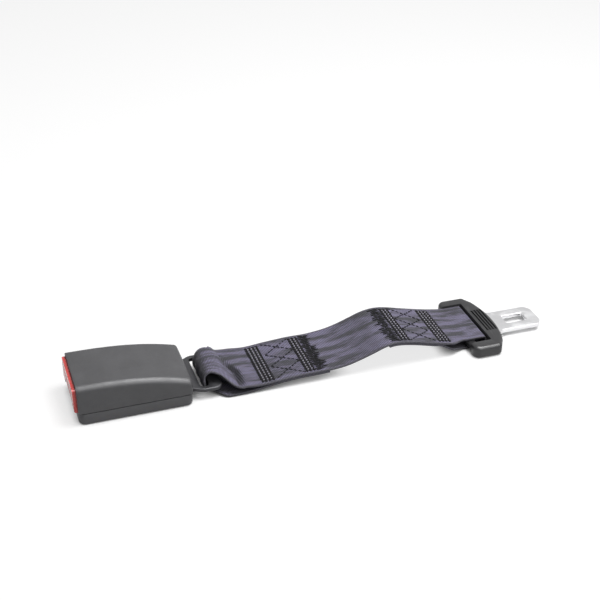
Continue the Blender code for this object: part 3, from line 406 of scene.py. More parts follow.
# The knots are painted light grey.
colour = blend_colours(tree, knot, black, (0.50, 0.48, 0.55, 1))
feed(tree, surface, {"Base Color": colour, "Specular IOR Level": 0.12})
raise_surface(tree, surface, twist.outputs["Fac"], 0.00005)
print("fabrics:", FABRIC.name, THREAD.name)

# %% [markdown]
# ## Shaping tools
#
# The hard pieces start from an extruded outline or a plain box. Bevels round their edges, and Booleans
# cut their hollows. These steps become helpers, so that each piece below is a short recipe.

# %% Helpers for hard shapes
def keep(name, mesh, body, finish, nodes, sharp=35):
    """Makes a named piece from a mesh that is already in place, and ties it to its body."""
    mesh.name = name
    mesh.materials.clear()
    mesh.materials.append(finish)
    mesh.shade_smooth()
    mesh.set_sharp_from_angle(angle=math.radians(sharp))
    piece = bpy.data.objects.new(name, mesh)
    scene.collection.objects.link(piece)
    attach(piece, body)
    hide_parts(*nodes)
    mesh.calc_loop_triangles()
    print(f"{name}: {len(mesh.loop_triangles)} triangles")
    return piece


def to_mesh(bm):
    bmesh.ops.recalc_face_normals(bm, faces=bm.faces)
    mesh = bpy.data.meshes.new("shape")
    bm.to_mesh(mesh)
    bm.free()
    return mesh


def to_bmesh(mesh):
    bm = bmesh.new()
    bm.from_mesh(mesh)
    bpy.data.meshes.remove(mesh)
    return bm


def box(x0, x1, y0, y1, z0, z1):
    bm = bmesh.new()
    bmesh.ops.create_cube(bm, size=1)
    bmesh.ops.scale(bm, vec=(x1 - x0, y1 - y0, z1 - z0), verts=bm.verts)
    bmesh.ops.translate(bm, vec=((x0 + x1) / 2, (y0 + y1) / 2, (z0 + z1) / 2), verts=bm.verts)
    return bm


def prism(outline, low, high, plane="XY"):
    """Extrudes a closed outline, up from low to high or across from low to high."""
    flat = plane == "XY"
    bm = bmesh.new()
    face = bm.faces.new([bm.verts.new((a, b, low) if flat else (a, low, b)) for a, b in outline])
    grown = bmesh.ops.extrude_face_region(bm, geom=[face])["geom"]
    step = (0, 0, high - low) if flat else (0, high - low, 0)
    bmesh.ops.translate(bm, vec=step, verts=[g for g in grown if isinstance(g, bmesh.types.BMVert)])
    return bm


def arc(cx, cy, radius, start, end, steps):
    """Points on a circle's arc, from one angle in degrees to another."""
    turns = [math.radians(start + (end - start) * i / steps) for i in range(steps + 1)]
    return [(cx + radius * math.cos(t), cy + radius * math.sin(t)) for t in turns]


def rounded(x0, x1, y0, y1, radius, steps):
    """The outline of a rectangle with round corners."""
    left, right, low, high = x0 + radius, x1 - radius, y0 + radius, y1 - radius
    outline = []
    for i, (x, y) in enumerate(((right, high), (left, high), (left, low), (right, low))):
        outline += arc(x, y, radius, 90 * i, 90 * i + 90, steps)
    return outline


def bevel_where(bm, chosen, width, segments):
    edges = [e for e in bm.edges if chosen(e)]
    bmesh.ops.bevel(bm, geom=edges, offset=width, affect="EDGES", segments=segments, profile=0.5,
                    material=-1, clamp_overlap=True)


def applied(mesh, kind, tools=(), **settings):
    """A mesh after one modifier, or one Boolean for each tool."""
    holder = bpy.data.objects.new("holder", mesh)
    scene.collection.objects.link(holder)
    spent = [holder]
    for tool in tools or [None]:
        step = holder.modifiers.new("step", kind)
        for name, value in settings.items():
            setattr(step, name, value)
        if tool is not None:
            cutter = bpy.data.objects.new("cutter", to_mesh(tool))
            cutter.hide_render = True
            scene.collection.objects.link(cutter)
            step.object = cutter
            spent.append(cutter)
    graph = bpy.context.evaluated_depsgraph_get()
    made = bpy.data.meshes.new_from_object(holder.evaluated_get(graph))
    for used in spent:
        bpy.data.objects.remove(used, do_unlink=True)
    return made


def combine(base, others, operation):
    return applied(to_mesh(base), "BOOLEAN", others, operation=operation, solver="EXACT")


def eased(mesh, width, segments=2, angle=40):
    """Rounds every sharp edge a little, as on a real moulding or stamping."""
    return applied(mesh, "BEVEL", width=width, segments=segments, limit_method="ANGLE",
                   angle_limit=math.radians(angle), harden_normals=False)

# %% [markdown]
# ## The buckle's top cover
#
# The cover is a hollow shell with a crowned top, thick at the button and lower at the strap, and sides that
# lean in. It is built as a row of cross sections, each with wide rounds at its top corners, and the last
# few shrink to round the rear end. A second, smaller block of the same form hollows it out.

# %% Build the top cover
PARTING = top_low.z + 0.003  # the tabs reach 3 mm below the cover's edge
GAP = 0.0003  # between pieces that meet
FAR = 0.03  # how far a cutting block reaches past what it cuts
TOP_WIDTH = 0.046
CROWN_DROP = 0.0095  # how much lower the cover is at its strap end
CROWN_POWER = 2.6
WALL = 0.0018
EDGE_ROUND = 0.0042
REAR_ROUND = 0.0018
MOULD_EDGE = 0.00025  # the round of any other edge of a moulding


def crown(at):
    """Height of the top at a place measured from the buckle's front edge."""
    return FRONT_HEIGHT - CROWN_DROP * (max(at, 0) / LENGTH) ** CROWN_POWER


def side_at(height):
    """Half the cover's width at a height."""
    share = (height - PARTING + GAP) / (FRONT_HEIGHT - PARTING + GAP)
    return (BASE_WIDTH + (TOP_WIDTH - BASE_WIDTH) * share) / 2


def crowned(start, end, low, inset, stations, blunt=0.0):
    """A block under the crown, inset from the cover's outside, with its rear end rounded by blunt."""
    places = [start + (end - blunt - start) * i / stations for i in range(stations + 1)]
    places += [end - blunt * (1 - math.sin(math.radians(t))) for t in (15, 30, 45, 60, 75, 90) if blunt]
    turn = EDGE_ROUND - inset
    bm = bmesh.new()
    rings = []
    for place in places:
        lost = max(place - end + blunt, 0)
        shrink = inset + (blunt - math.sqrt(max(blunt ** 2 - lost ** 2, 0)) if blunt else 0)
        top = crown(place) - shrink
        wide = side_at(top - turn) - shrink
        half_ring = [(side_at(low) - shrink, low), *arc(wide - turn, top - turn, turn, 0, 90, 12)]
        ring = half_ring + [(-y, z) for y, z in reversed(half_ring)]
        rings.append([bm.verts.new((FRONT + place, y, z)) for y, z in ring])
    for one, other in zip(rings, rings[1:]):
        for i in range(len(one)):
            bm.faces.new((one[i - 1], one[i], other[i], other[i - 1]))
    bm.faces.new(rings[0])
    bm.faces.new(rings[-1])
    return bm


shell = crowned(0, LENGTH, PARTING, 0, 40, REAR_ROUND)
hollow = crowned(-FAR, LENGTH - WALL, PARTING - FAR, WALL, 40)
top_mesh = eased(combine(shell, [hollow], "DIFFERENCE"), MOULD_EDGE)
keep("top_shell", top_mesh, "buckle", COVER, ["buckle_top_cover"])

# %% [markdown]
# ## The buckle's bottom cover
#
# The lower shell is a shallow tray that meets the top cover at the parting line. Its rim is stepped in, so
# that the join shows as a narrow dark groove all round, as where two mouldings are closed on each other.

# %% Build the bottom cover
BASE_TOP = PARTING - GAP
CORNER = 0.0045
BASE_ROUND = 0.0016
STEP = 0.0007  # how far the rim is stepped in, and how high the step is
STEP_HEIGHT = 0.0004
NECK_HALF = 0.018  # half the opening that the anchor plate leaves by
NECK_FLOOR = 0.0054
half = BASE_WIDTH / 2


def tray_outline(inset, steps):
    """The tray in plan, inset from its outside."""
    return rounded(FRONT + inset, REAR - inset, -half + inset, half - inset, CORNER - inset, steps)


tray = prism(tray_outline(0, 10), 0, BASE_TOP - STEP_HEIGHT)
bevel_where(tray, lambda e: max(v.co.z for v in e.verts) < 1e-6, BASE_ROUND, 5)
rim = prism(tray_outline(STEP, 10), BASE_TOP / 2, BASE_TOP)
tray = to_bmesh(combine(tray, [rim], "UNION"))
room = prism(tray_outline(WALL, 8), WALL, FAR)
neck = box(REAR - 2 * WALL, REAR + FAR, -NECK_HALF, NECK_HALF, NECK_FLOOR, FAR)
tray_mesh = eased(combine(tray, [room, neck], "DIFFERENCE"), MOULD_EDGE)
keep("bottom_tray", tray_mesh, "buckle", COVER, ["buckle_bottom_cover"])

# %% [markdown]
# ## The press button
#
# The whole end of the buckle is the button: a red cap shaped like an upside down U over the tongue's slot,
# a little proud of the covers, with a shallow dish for the thumb. It is the same crowned block again, inset
# by the cover's wall, and a flattened sphere cuts the dish. Two arms behind it carry the lock bar.

# %% Build the button
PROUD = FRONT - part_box("press_button")[0].x
BUTTON_BACK = 0.009
BUTTON_RUN = 0.0004  # the space around the button
BUTTON_ROUND = 0.0011
BUTTON_WALL = 0.0015
CORE_START = 0.0012  # of the hollow behind the face
DISH = (0.0005, 0.017, 0.0042)  # half sizes
MOUTH = 0.014  # half the slot's width
SLOT_TOP = 0.0133
ARM_START, ARM_END = 0.006, 0.0418  # from the buckle's front edge
ARM_IN, ARM_OUT = 0.0189, 0.0207  # from the middle
ARM_LOW, ARM_HIGH = 0.0159, 0.0171
front = FRONT - PROUD
inset = WALL + BUTTON_RUN
cap = crowned(-PROUD, BUTTON_BACK, PARTING + BUTTON_RUN, inset, 10)
bevel_where(cap, lambda e: max(v.co.x for v in e.verts) < front + 1e-5, BUTTON_ROUND, 6)
dish = bmesh.new()
bmesh.ops.create_uvsphere(dish, u_segments=64, v_segments=48, radius=1)
bmesh.ops.scale(dish, vec=DISH, verts=dish.verts)
bmesh.ops.translate(dish, vec=(front, 0, (SLOT_TOP + FRONT_HEIGHT) / 2), verts=dish.verts)
mouth = box(FRONT - FAR, FRONT + FAR, -MOUTH, MOUTH, 0, SLOT_TOP)
core_top = crown(BUTTON_BACK) - inset - BUTTON_WALL
core = box(FRONT + CORE_START, FRONT + FAR, -MOUTH, MOUTH, SLOT_TOP + BUTTON_WALL, core_top)
arms = []
for side in (-1, 1):
    y0, y1 = sorted((side * ARM_IN, side * ARM_OUT))
    arms.append(box(FRONT + ARM_START, FRONT + ARM_END, y0, y1, ARM_LOW, ARM_HIGH))
cap = to_bmesh(combine(cap, [dish, mouth, core], "DIFFERENCE"))
button_mesh = eased(combine(cap, arms, "UNION"), 0.0002)
keep("red_cap", button_mesh, "button", RED, ["press_button"])

# %% [markdown]
# The mouth for the tongue is painted near black as painted shade, and the face that thumbs press is painted
# a lighter pink red as a painted highlight. Both are painted by place: the shade lies within the mouth, and
# the highlight on the face that looks away from the strap. A clear coat gives the red its gloss.

# %% Paint shade in the mouth and a highlight on the face
MOUTH_SHADE_SKIN = 0.0001  # how far past the mouth's walls the painted shade reaches
tree = RED.node_tree
surface = tree.nodes["Principled BSDF"]
spot = put(tree, "SeparateXYZ", {0: put(tree, "TexCoord").outputs["Object"]})
facing = put(tree, "SeparateXYZ", {0: put(tree, "NewGeometry").outputs["Normal"]}).outputs[0]
colour = surface.inputs["Base Color"].links[0].from_socket
# Painted highlight: the face that looks away from the strap is painted lighter.
colour = blend_colours(tree, spread(tree, facing, -0.70, -0.95), colour, (0.92, 0.24, 0.22, 1))
# Painted shade: inside the mouth the red is painted near black.
off_middle = sum_of(tree, "ABSOLUTE", spot.outputs[1])
within = spread(tree, off_middle, MOUTH + MOUTH_SHADE_SKIN, MOUTH + 2 * MOUTH_SHADE_SKIN, 1.0, 0.0)
under = spread(tree, spot.outputs[2], SLOT_TOP + MOUTH_SHADE_SKIN, SLOT_TOP + 2 * MOUTH_SHADE_SKIN, 1.0, 0.0)
colour = blend_colours(tree, times(tree, within, under), colour, (0.008, 0.008, 0.009, 1))
feed(tree, surface, {"Base Color": colour, "Coat Weight": 0.25, "Coat Roughness": 0.15})

# %% [markdown]
# ## The steel inside
#
# The frame, the latch and the lock bar are stampings. Their solids have the right shapes, but a stamped
# edge is never perfectly sharp and catches the light. A copy of each solid is merged, its flat faces are
# joined, and a small bevel goes round its edges. Only the anchor plate shows outside the covers.

# %% Ease the stampings
def from_solid(node, width):
    """An eased copy of a solid's mesh."""
    bm = bmesh.new()
    bm.from_mesh(frame["nodes"][node].data)
    bmesh.ops.remove_doubles(bm, verts=bm.verts, dist=1e-6)
    bmesh.ops.dissolve_limit(bm, angle_limit=math.radians(1), verts=bm.verts, edges=bm.edges)
    return eased(to_mesh(bm), width)


INSIDE = [("anchor_frame", "buckle_frame", 0.0003, "buckle", "coated_steel", COATED),
          ("latch_stamping", "latch_plate", 0.0002, "latch", "bright_steel", PLATED),
          ("lock_strip", "lock_bar", 0.0002, "button", "bright_steel", PLATED),
          ("slide_block", "ejector", 0.0002, "ejector", "ejector_plastic", BLACK)]
for name, node, width, body, slot, finish in INSIDE:
    keep(name, from_solid(node, width), body, finish, [node])
for node in ("ejector_spring", "button_spring_left", "button_spring_right", "latch_spring"):
    spring = frame["nodes"][node]
    spring.data.materials.clear()
    spring.data.materials.append(WIRE)

# %% [markdown]
# ## The line of the webbing
#
# The strap is one length of webbing. From its left end it runs under itself, around the anchor bar in a
# slack loop, along the top, around the tongue's bar, and back underneath. That line is drawn from the side
# as a few points with a smooth curve through them. Webbing this stiff is laid out from listed points,
# because a cloth solver loses its flat, crisp turns.

# %% Draw the line
# Places along X from the anchor bar, and heights above the table
RISE = [(0.020, 0.0061), (0.028, 0.0052), (0.036, 0.0053), (0.048, 0.0063), (0.062, 0.0072),
        (0.078, 0.0073), (0.091, 0.0086), (0.101, 0.0113), (0.110, 0.0145), (0.119, 0.0178),
        (0.126, 0.0191), (0.133, 0.0189), (0.142, 0.0172), (0.152, 0.0146), (0.163, 0.0118),
        (0.174, 0.0095)]
LOOP_BELOW = [(0.030, 0.0025), (0.0235, 0.0016), (0.017, 0.0012), (0.010, 0.0011), (0.003, 0.0014),
              (-0.0042, 0.0027), (-0.0075, 0.0062), (-0.0082, 0.0112)]
LOOP_NEAR = [(-0.0078, 0.0156), (-0.0048, 0.0182), (0.0000, 0.0189), (0.0040, 0.0172), (0.0078, 0.0140),
             (0.0118, 0.0102), (0.0162, 0.0076)]
LOOP_FAR = [(-0.0072, 0.0160), (-0.0036, 0.0189), (0.0012, 0.0196), (0.0056, 0.0180), (0.0080, 0.0140),
            (0.0098, 0.0092), (0.0140, 0.0066)]
WEB_HALF = 0.024
WEB_THICK = 0.0012
PLY_PITCH = WEB_THICK + GAP
LEFT_END = 0.0792  # the two turned-back ends, from the anchor bar
RIGHT_END = LEFT_END + 0.0435
BODY_X = BAR_X + 0.0126  # the outer edge of the grip's slot
TURN_RADIUS = 0.0033  # of the webbing's turn in that slot
TURN_POWER = 0.62  # squarer than a circle, as the slot's edge presses it
LINE_STEP = 0.00055


def smooth(points, step, stations=None):
    """A Catmull-Rom curve through the points, read at even steps."""
    p = np.array([points[0], *points, points[-1]], float)
    p[0] = 2 * p[1] - p[2]
    p[-1] = 2 * p[-2] - p[-3]
    t = np.linspace(0, 1, 24, endpoint=False)[:, None]
    spans = []
    for i in range(1, len(p) - 2):
        a, b, c, d = p[i - 1:i + 3]
        spans.append(0.5 * (2 * b + (c - a) * t + (2 * a - 5 * b + 4 * c - d) * t ** 2
                            + (3 * b - a - 3 * c + d) * t ** 3))
    fine_line = np.vstack([*spans, p[-2:-1]])
    count = np.r_[0, np.cumsum(np.linalg.norm(np.diff(fine_line, axis=0), axis=1))] / step
    read = np.linspace(0, count[-1], stations or int(round(count[-1])) + 1)
    return np.stack([np.interp(read, count, fine_line[:, k]) for k in range(2)], axis=1)


UPPER = smooth(RISE, 0.001)


def ply_height(x):
    return float(np.interp(x - ANCHOR_X, UPPER[:, 0], UPPER[:, 1]))


def ply_tilt(x):
    return math.atan((ply_height(x + 0.001) - ply_height(x - 0.001)) / 0.002)


def lower_point(at):
    """A point of the ply that lies under the upper one, at a place from the anchor bar."""
    x = ANCHOR_X + at
    return (x + PLY_PITCH * math.sin(ply_tilt(x)), ply_height(x) - PLY_PITCH * math.cos(ply_tilt(x)))


def web_line(loop, stations=None):
    """The webbing's middle line, from its left end around both bars to its right end."""
    points = [lower_point(at) for at in np.arange(LEFT_END, 0.038, -0.006)]
    points += [(ANCHOR_X + x, z) for x, z in LOOP_BELOW + loop + RISE]
    turn_x = BODY_X - 0.0011 - TURN_RADIUS
    over, under = BAR_Z + TURN_RADIUS, BAR_Z - TURN_RADIUS
    points.append((BAR_X - 0.004, over + 0.0002))
    for t in (90, 66, 42, 20, 0):
        c, s = math.cos(math.radians(t)), math.sin(math.radians(t))
        points.append((turn_x + TURN_RADIUS * c ** TURN_POWER, BAR_Z + TURN_RADIUS * s ** TURN_POWER))
    points += arc(turn_x, BAR_Z, TURN_RADIUS, -30, -90, 2)
    points += [(BAR_X, under), (BAR_X - 0.006, under + 0.0002), (BAR_X - 0.0125, under + 0.0024),
               (BAR_X - 0.0185, 0.0062)]
    points += [lower_point(at) for at in np.arange(0.163, RIGHT_END + 0.003, -0.006)]
    points.append(lower_point(RIGHT_END))
    return smooth(points, LINE_STEP, stations)


near_line = web_line(LOOP_NEAR)
far_line = web_line(LOOP_FAR, len(near_line))
RUN = np.r_[0, np.cumsum(np.linalg.norm(np.diff(near_line, axis=0), axis=1))]
LEFTMOST = int(np.argmin(near_line[:, 0]))
print("webbing line", round(float(RUN[-1]), 4), "m long in", len(near_line), "stations")

# %% [markdown]
# ## Stitches across the line
#
# Both sewn joints have rows of stitches across the strap, crossing zigzags between them, and a dense band
# at the end of the turned-back ply. The rows pull the webbing down a little. Their places are needed for
# that before the strap is made, so they are worked out here.

# %% Place the stitch rows
ROW_PITCH = 0.0026
PANEL = 0.0205
TACK = 0.0080
TACK_MARGIN = 0.0008
INNER_START = 0.3  # pitches from the panel's end to its first row
LEFT_PANEL = ANCHOR_X + 0.0424
RIGHT_PANEL = BAR_X - 0.0289
SEAMS = {
    "left": {"start": LEFT_PANEL, "end": LEFT_PANEL + PANEL, "way": 1,
             "tack": ANCHOR_X + LEFT_END - TACK - TACK_MARGIN},
    "right": {"start": RIGHT_PANEL, "end": RIGHT_PANEL - PANEL, "way": -1,
              "tack": ANCHOR_X + RIGHT_END + TACK + TACK_MARGIN},
}
ROWS = []
for seam in SEAMS.values():
    step = seam["way"] * ROW_PITCH
    seam["outer"] = [seam["start"] - step * (4 - i) for i in range(4)]
    seam["inner"] = [seam["end"] + step * (INNER_START + i) for i in range(3)]
    ROWS += seam["outer"] + seam["inner"]
print("rows across the strap:", len(ROWS))

# %% [markdown]
# ## The webbing
#
# A fine grid is bent onto the line. Around the anchor bar the slot gathers it: its edges curl in, a deep
# slanting crease crosses the foot of the loop, and the near edge tucks in. Small waves and the pull of
# each row keep it from looking cut from card. Then it gets its thickness and round edges.

# %% Bend the webbing
GATHERED_HALF = 0.0166  # half the webbing's width in the anchor slot
PINCH = 0.0045  # at the near edge, beside the grip
CURL = 0.0004  # around the anchor bar
ROLL = 0.0032  # at the loop's far side
TUCK = 0.0018  # at the near edge, at the loop's foot
CREASE_DEPTH = 0.0040
CREASE_HALF = 0.0024
WAVE = 0.00010
PULL = 0.00016  # under a row of stitches
PULL_HALF = 0.0008
COLUMNS = 40


def ramp(past, length):
    """A share that goes from 0 to 1 over a length."""
    return min(max(past / length, 0), 1)


def bump(value, low, high, soft_low, soft_high):
    """1 between low and high, falling smoothly to 0 over the soft distances outside."""
    out = max((low - value) / soft_low, (value - high) / soft_high, 0)
    return 0.5 + 0.5 * math.cos(math.pi * min(out, 1))


def gathered(run):
    """How much the slot gathers the webbing, from 0 to 1, at a run past the loop's left."""
    return bump(run, -0.0125, 0.013, 0.012, 0.020)


def pinched(x):
    """How far the webbing's near edge lies in, as it is drawn aside at the grip."""
    return PINCH * bump(x, BAR_X - 0.005, 1, 0.013, 1)


def crease(x, u):
    """The slanting crease at the foot of the loop, from 0 beside it to 1 in its middle."""
    middle = 0.0172 - 0.0125 * max(u + 0.1, 0)
    return max(1 - abs(u) ** 5, 0) * math.exp(-((x - middle) / CREASE_HALF) ** 2)


def folds(run, x, u, upper):
    """How far the webbing lies in from the smooth loop, at a run past its left and a share u across."""
    inward = gathered(run) * CURL * (u ** 4 - math.cos(3 * math.pi * u))
    inward += bump(run, 0.001, 0.013, 0.008, 0.020) * ROLL * max((u - 0.2) / 0.8, 0) ** 2
    if not upper:
        return inward
    inward += CREASE_DEPTH * crease(x, u)
    inward += bump(x, 0.002, 0.013, 0.006, 0.008) * TUCK * max((-u - 0.55) / 0.45, 0) ** 2
    return inward


def ripple(x, u):
    """Small waves of the strap's face, and the pull of each row of stitches."""
    wave = WAVE * math.sin(210 * x + 2.2 * u) * math.cos(2.6 * u + 60 * x)
    pull = sum(math.exp(-((x - row) / PULL_HALF) ** 2) for row in ROWS)
    return wave - PULL * pull * (1 if abs(u) < 0.93 else 0)


last = len(near_line) - 1
bm = bmesh.new()
bmesh.ops.create_grid(bm, x_segments=last, y_segments=COLUMNS, size=0.5)
flat_map = bm.loops.layers.uv.new("weave")
# The fold map carries the crease as a mask of painted shade.
fold_shade_map = bm.loops.layers.uv.new("fold")
for face in bm.faces:
    for loop in face.loops:
        place = loop.vert.co.x + 0.5
        loop[flat_map].uv = (2000 * WEB_HALF * loop.vert.co.y, 1000 * RUN[-1] * place)
        i = int(round(place * last))
        if i > LEFTMOST:
            loop[fold_shade_map].uv.x = crease(near_line[i][0] - ANCHOR_X, 2 * loop.vert.co.y)
for v in bm.verts:
    i = int(round((v.co.x + 0.5) * last))
    u = 2 * v.co.y
    share = 0.5 - 0.5 * math.cos(math.pi * ramp(u + 0.85, 1.0))
    before, after = max(i - 1, 0), min(i + 1, last)
    here = near_line[i] + (far_line[i] - near_line[i]) * share
    near_run, far_run = (line[after] - line[before] for line in (near_line, far_line))
    run = near_run * (1 - share) + far_run * share
    run /= np.linalg.norm(run)
    normal = np.array([-run[1], run[0]])
    past = RUN[i] - RUN[LEFTMOST]
    inward = folds(past, here[0] - ANCHOR_X, u, i > LEFTMOST)
    flat_part = ramp(here[0] - ANCHOR_X - 0.024, 0.006) * ramp(BAR_X - 0.016 - here[0], 0.006)
    way = 1 if run[0] > 0 else -1
    inward -= way * ripple(here[0], u) * flat_part
    x, z = here - inward * normal
    across = u * (WEB_HALF + gathered(past) * (GATHERED_HALF - WEB_HALF))
    v.co = (x, across + pinched(here[0]) * min(u, 0) ** 2, z)
strap_mesh = applied(to_mesh(bm), "SOLIDIFY", thickness=WEB_THICK, offset=0, use_even_offset=False)
strap_mesh = eased(strap_mesh, 0.00035, 2, 80)
strap = keep("woven_strap", strap_mesh, "strap", FABRIC, ["webbing"], 60)

# %% [markdown]
# ## The stitches
#
# Heavy thread lies on the webbing as a row of short, round stitches, each sinking in at its ends. A small
# stretched ball stands for one stitch. It is copied along each row, with a little unevenness as on a real
# seam. The dense band is the same stitch again, set to and fro at a close pitch with ragged ends.

# %% Sew the joints
random.seed(7)
EDGE = WEB_HALF - 0.0022  # where the rows end
STITCH = 0.0027  # a stitch's length in the rows
STITCH_UP = 0.0001  # from the webbing's face to a stitch's middle
KNOT = 0.0011
KNOT_HALF = 0.0004
ZIGZAG = {"length": 0.0032, "wide": 0.0010, "high": 0.0009, "apart": 0.12, "loose": 0.00010}
STROKES = 42  # of the dense band, to and fro


def on_face(x, y, up):
    """A point above the upper ply's face."""
    out = WEB_THICK / 2 + up + ripple(x, y / WEB_HALF)
    tilt = ply_tilt(x)
    return Vector((x - out * math.sin(tilt), y, ply_height(x) + out * math.cos(tilt)))


def stitch(bm, start, end, wide, high, knot=0.0):
    """One stitch from start to end, as a stretched ball flattened into the webbing."""
    mark = bm.faces.layers.float.get("knot") or bm.faces.layers.float.new("knot")
    middle = (start + end) / 2
    run = end - start
    side = Vector((0, 0, 1)).cross(run).normalized()
    over = run.cross(side).normalized()
    turn = Matrix((run.normalized(), side, over)).transposed().to_4x4()
    turn.translation = middle
    made = bmesh.ops.create_uvsphere(bm, u_segments=8, v_segments=6, radius=1)["verts"]
    size = Matrix.Diagonal((high / 2, wide / 2, run.length * 0.53, 1))
    lay = Matrix.Rotation(math.radians(90), 4, "Y")
    bmesh.ops.transform(bm, matrix=turn @ lay @ size, verts=made)
    for face in {f for v in made for f in v.link_faces}:
        face[mark] = knot


def sew(bm, line, length, wide, high, apart, loose):
    """Stitches of about one length along a line of (x, y) points, some way apart and a little uneven."""
    for (x0, y0), (x1, y1) in zip(line, line[1:]):
        count = max(1, round(math.hypot(x1 - x0, y1 - y0) / length))
        for i in range(count):
            a, b = (i + apart) / count, (i + 1 - apart) / count
            shift = [random.uniform(-loose, loose) for _ in range(4)]
            start = on_face(x0 + (x1 - x0) * a + shift[0], y0 + (y1 - y0) * a + shift[1], STITCH_UP)
            end = on_face(x0 + (x1 - x0) * b + shift[2], y0 + (y1 - y0) * b + shift[3], STITCH_UP)
            stitch(bm, start, end, wide, high)


def sew_rows(bm, places):
    """Rows across the strap, side by side, with a light knot where the stitches of two rows lock."""
    count = round(2 * EDGE / STITCH)
    for x in places:
        sew(bm, [(x, EDGE), (x, -EDGE)], STITCH, 0.0024, 0.0011, 0.0, 0.00010)
    for x0, x1 in zip(places, places[1:]):
        for i in range(1, count):
            y = EDGE - 2 * EDGE * i / count + random.uniform(-0.0001, 0.0001)
            x = (x0 + x1) / 2
            ends = [on_face(x, y + way * KNOT_HALF, 2 * STITCH_UP) for way in (-1, 1)]
            stitch(bm, *ends, KNOT, KNOT, 1.0)


def slanted(seam, shares):
    """A zigzag between the two groups of rows. Each share is a place across, from the far edge."""
    ends = (seam["start"], seam["end"])
    return [(ends[i % 2], EDGE * (1 - 2 * share)) for i, share in enumerate(shares)]


for side, seam in SEAMS.items():
    parts = {part: bmesh.new() for part in ("rows", "panel", "tack")}
    sew_rows(parts["rows"], seam["outer"])
    sew(parts["rows"], slanted(seam, (0.0, 0.33, 0.65, 1.0)), **ZIGZAG)
    sew_rows(parts["panel"], seam["inner"])
    sew(parts["panel"], slanted(seam, (0.98, 0.65, 0.32, 0.0)), **ZIGZAG)
    line = []
    for i in range(STROKES + 1):
        reach = random.uniform(0.0056, 0.0098) if i % 2 else random.uniform(-0.0010, 0.0004)
        line.append((seam["tack"] + seam["way"] * reach, EDGE - 2 * EDGE * i / STROKES))
    sew(parts["tack"], line, 0.0042, 0.0010, 0.0010, 0.0, 0.00015)
    for part, bm in parts.items():
        keep(f"stitches_{side}_{part}", to_mesh(bm), "strap", THREAD,
             [f"seam_{side}_{part}"], 80)

# %% [markdown]
# ## The steel tongue
#
# The tongue is one flat stamping: a ring around the webbing's slot, hidden in the grip, and the blade with
# its latch window. The blade's nose is a soft curve, so it is drawn through a few points and smoothed. A
# small round runs along its edges, where plated steel shows a bright line.

# %% Build the tongue
BLADE_HALF = 0.01225
WINDOW_HALF = 0.005
WINDOW_START, WINDOW_END = 0.0258, 0.0088  # from the tip
CUT_TOP = 0.02
RING_SLOT_HALF = 0.0267
INNER_CORNER = 0.0012  # of the window and the slots
PLATE_EDGE = 0.0006
PLATE_LOW, PLATE_HIGH = plate_low.z, plate_high.z
ring = plate_high.y
back = plate_low.x
root = BODY_X + 0.0045
flare = BOW_X + 0.0045
outline = [(back, ring - 0.002), (back + 0.002, ring), (root - 0.003, ring), (root, ring - 0.004),
           (root + 0.002, BLADE_HALF + 0.010)]
for i in range(13):
    t = i / 12
    x = root + 0.002 + (flare - root - 0.002) * (0.25 + 0.75 * t)
    outline.append((x, BLADE_HALF + 0.0075 * (1 - t) ** 2))
nose = [(0.0054, 0), (0.0034, 0.0005), (0.0008, 0.0036), (0.0001, 0.0052), (0, 0.0075)]
nose = [(TIP_X - short, BLADE_HALF - narrow) for short, narrow in nose]
outline += [(float(x), float(y)) for x, y in smooth(nose, 0.0005)]
outline += [(x, -y) for x, y in reversed(outline)]
blade = prism(outline, PLATE_LOW, PLATE_HIGH)
window = rounded(TIP_X - WINDOW_START, TIP_X - WINDOW_END, -WINDOW_HALF, WINDOW_HALF, INNER_CORNER, 8)
ring_slot = rounded(BAR_X + 0.0015, BODY_X + 0.0015, -RING_SLOT_HALF, RING_SLOT_HALF, INNER_CORNER, 6)
holes = [prism(window, 0, CUT_TOP), prism(ring_slot, 0, CUT_TOP)]
tongue_mesh = eased(combine(blade, holes, "DIFFERENCE"), PLATE_EDGE, 4)
keep("steel_tongue", tongue_mesh, "tongue", PLATED, ["tongue_plate"])

# %% [markdown]
# ## The moulded grip
#
# The grip is moulded around the tongue. In plan its outer edge is a bow, with round corners, and its rim is
# well rounded. Four grooves across the top give the fingers hold. The webbing's slot is cut through it, and
# the bar that carries the webbing is put back across the slot.

# %% Build the grip
BOW = 0.0075  # how far the outer edge bulges
GRIP_ROUND = 0.0028
BACK_CORNER = 0.005
FRONT_CORNER = 0.0034
SLOT_HALF = 0.0255
GROOVES = 4
GROOVE_PITCH = 0.00225
GROOVE_START = 0.0029  # from the slot to the first groove's middle
GROOVE_HALF = 0.00075
GROOVE_REACH = 0.014  # to each side
GROOVE_DEPTH = 0.0014
BAR_ROUND = 0.0022
BAR_FLAT = 0.0013  # half the flat between its two rounds
BAR_REACH = 0.0295
half = GRIP_WIDTH / 2
big = (half ** 2 + BOW ** 2) / (2 * BOW)


def bow(y):
    return BOW_X - big + math.sqrt(big ** 2 - y ** 2)


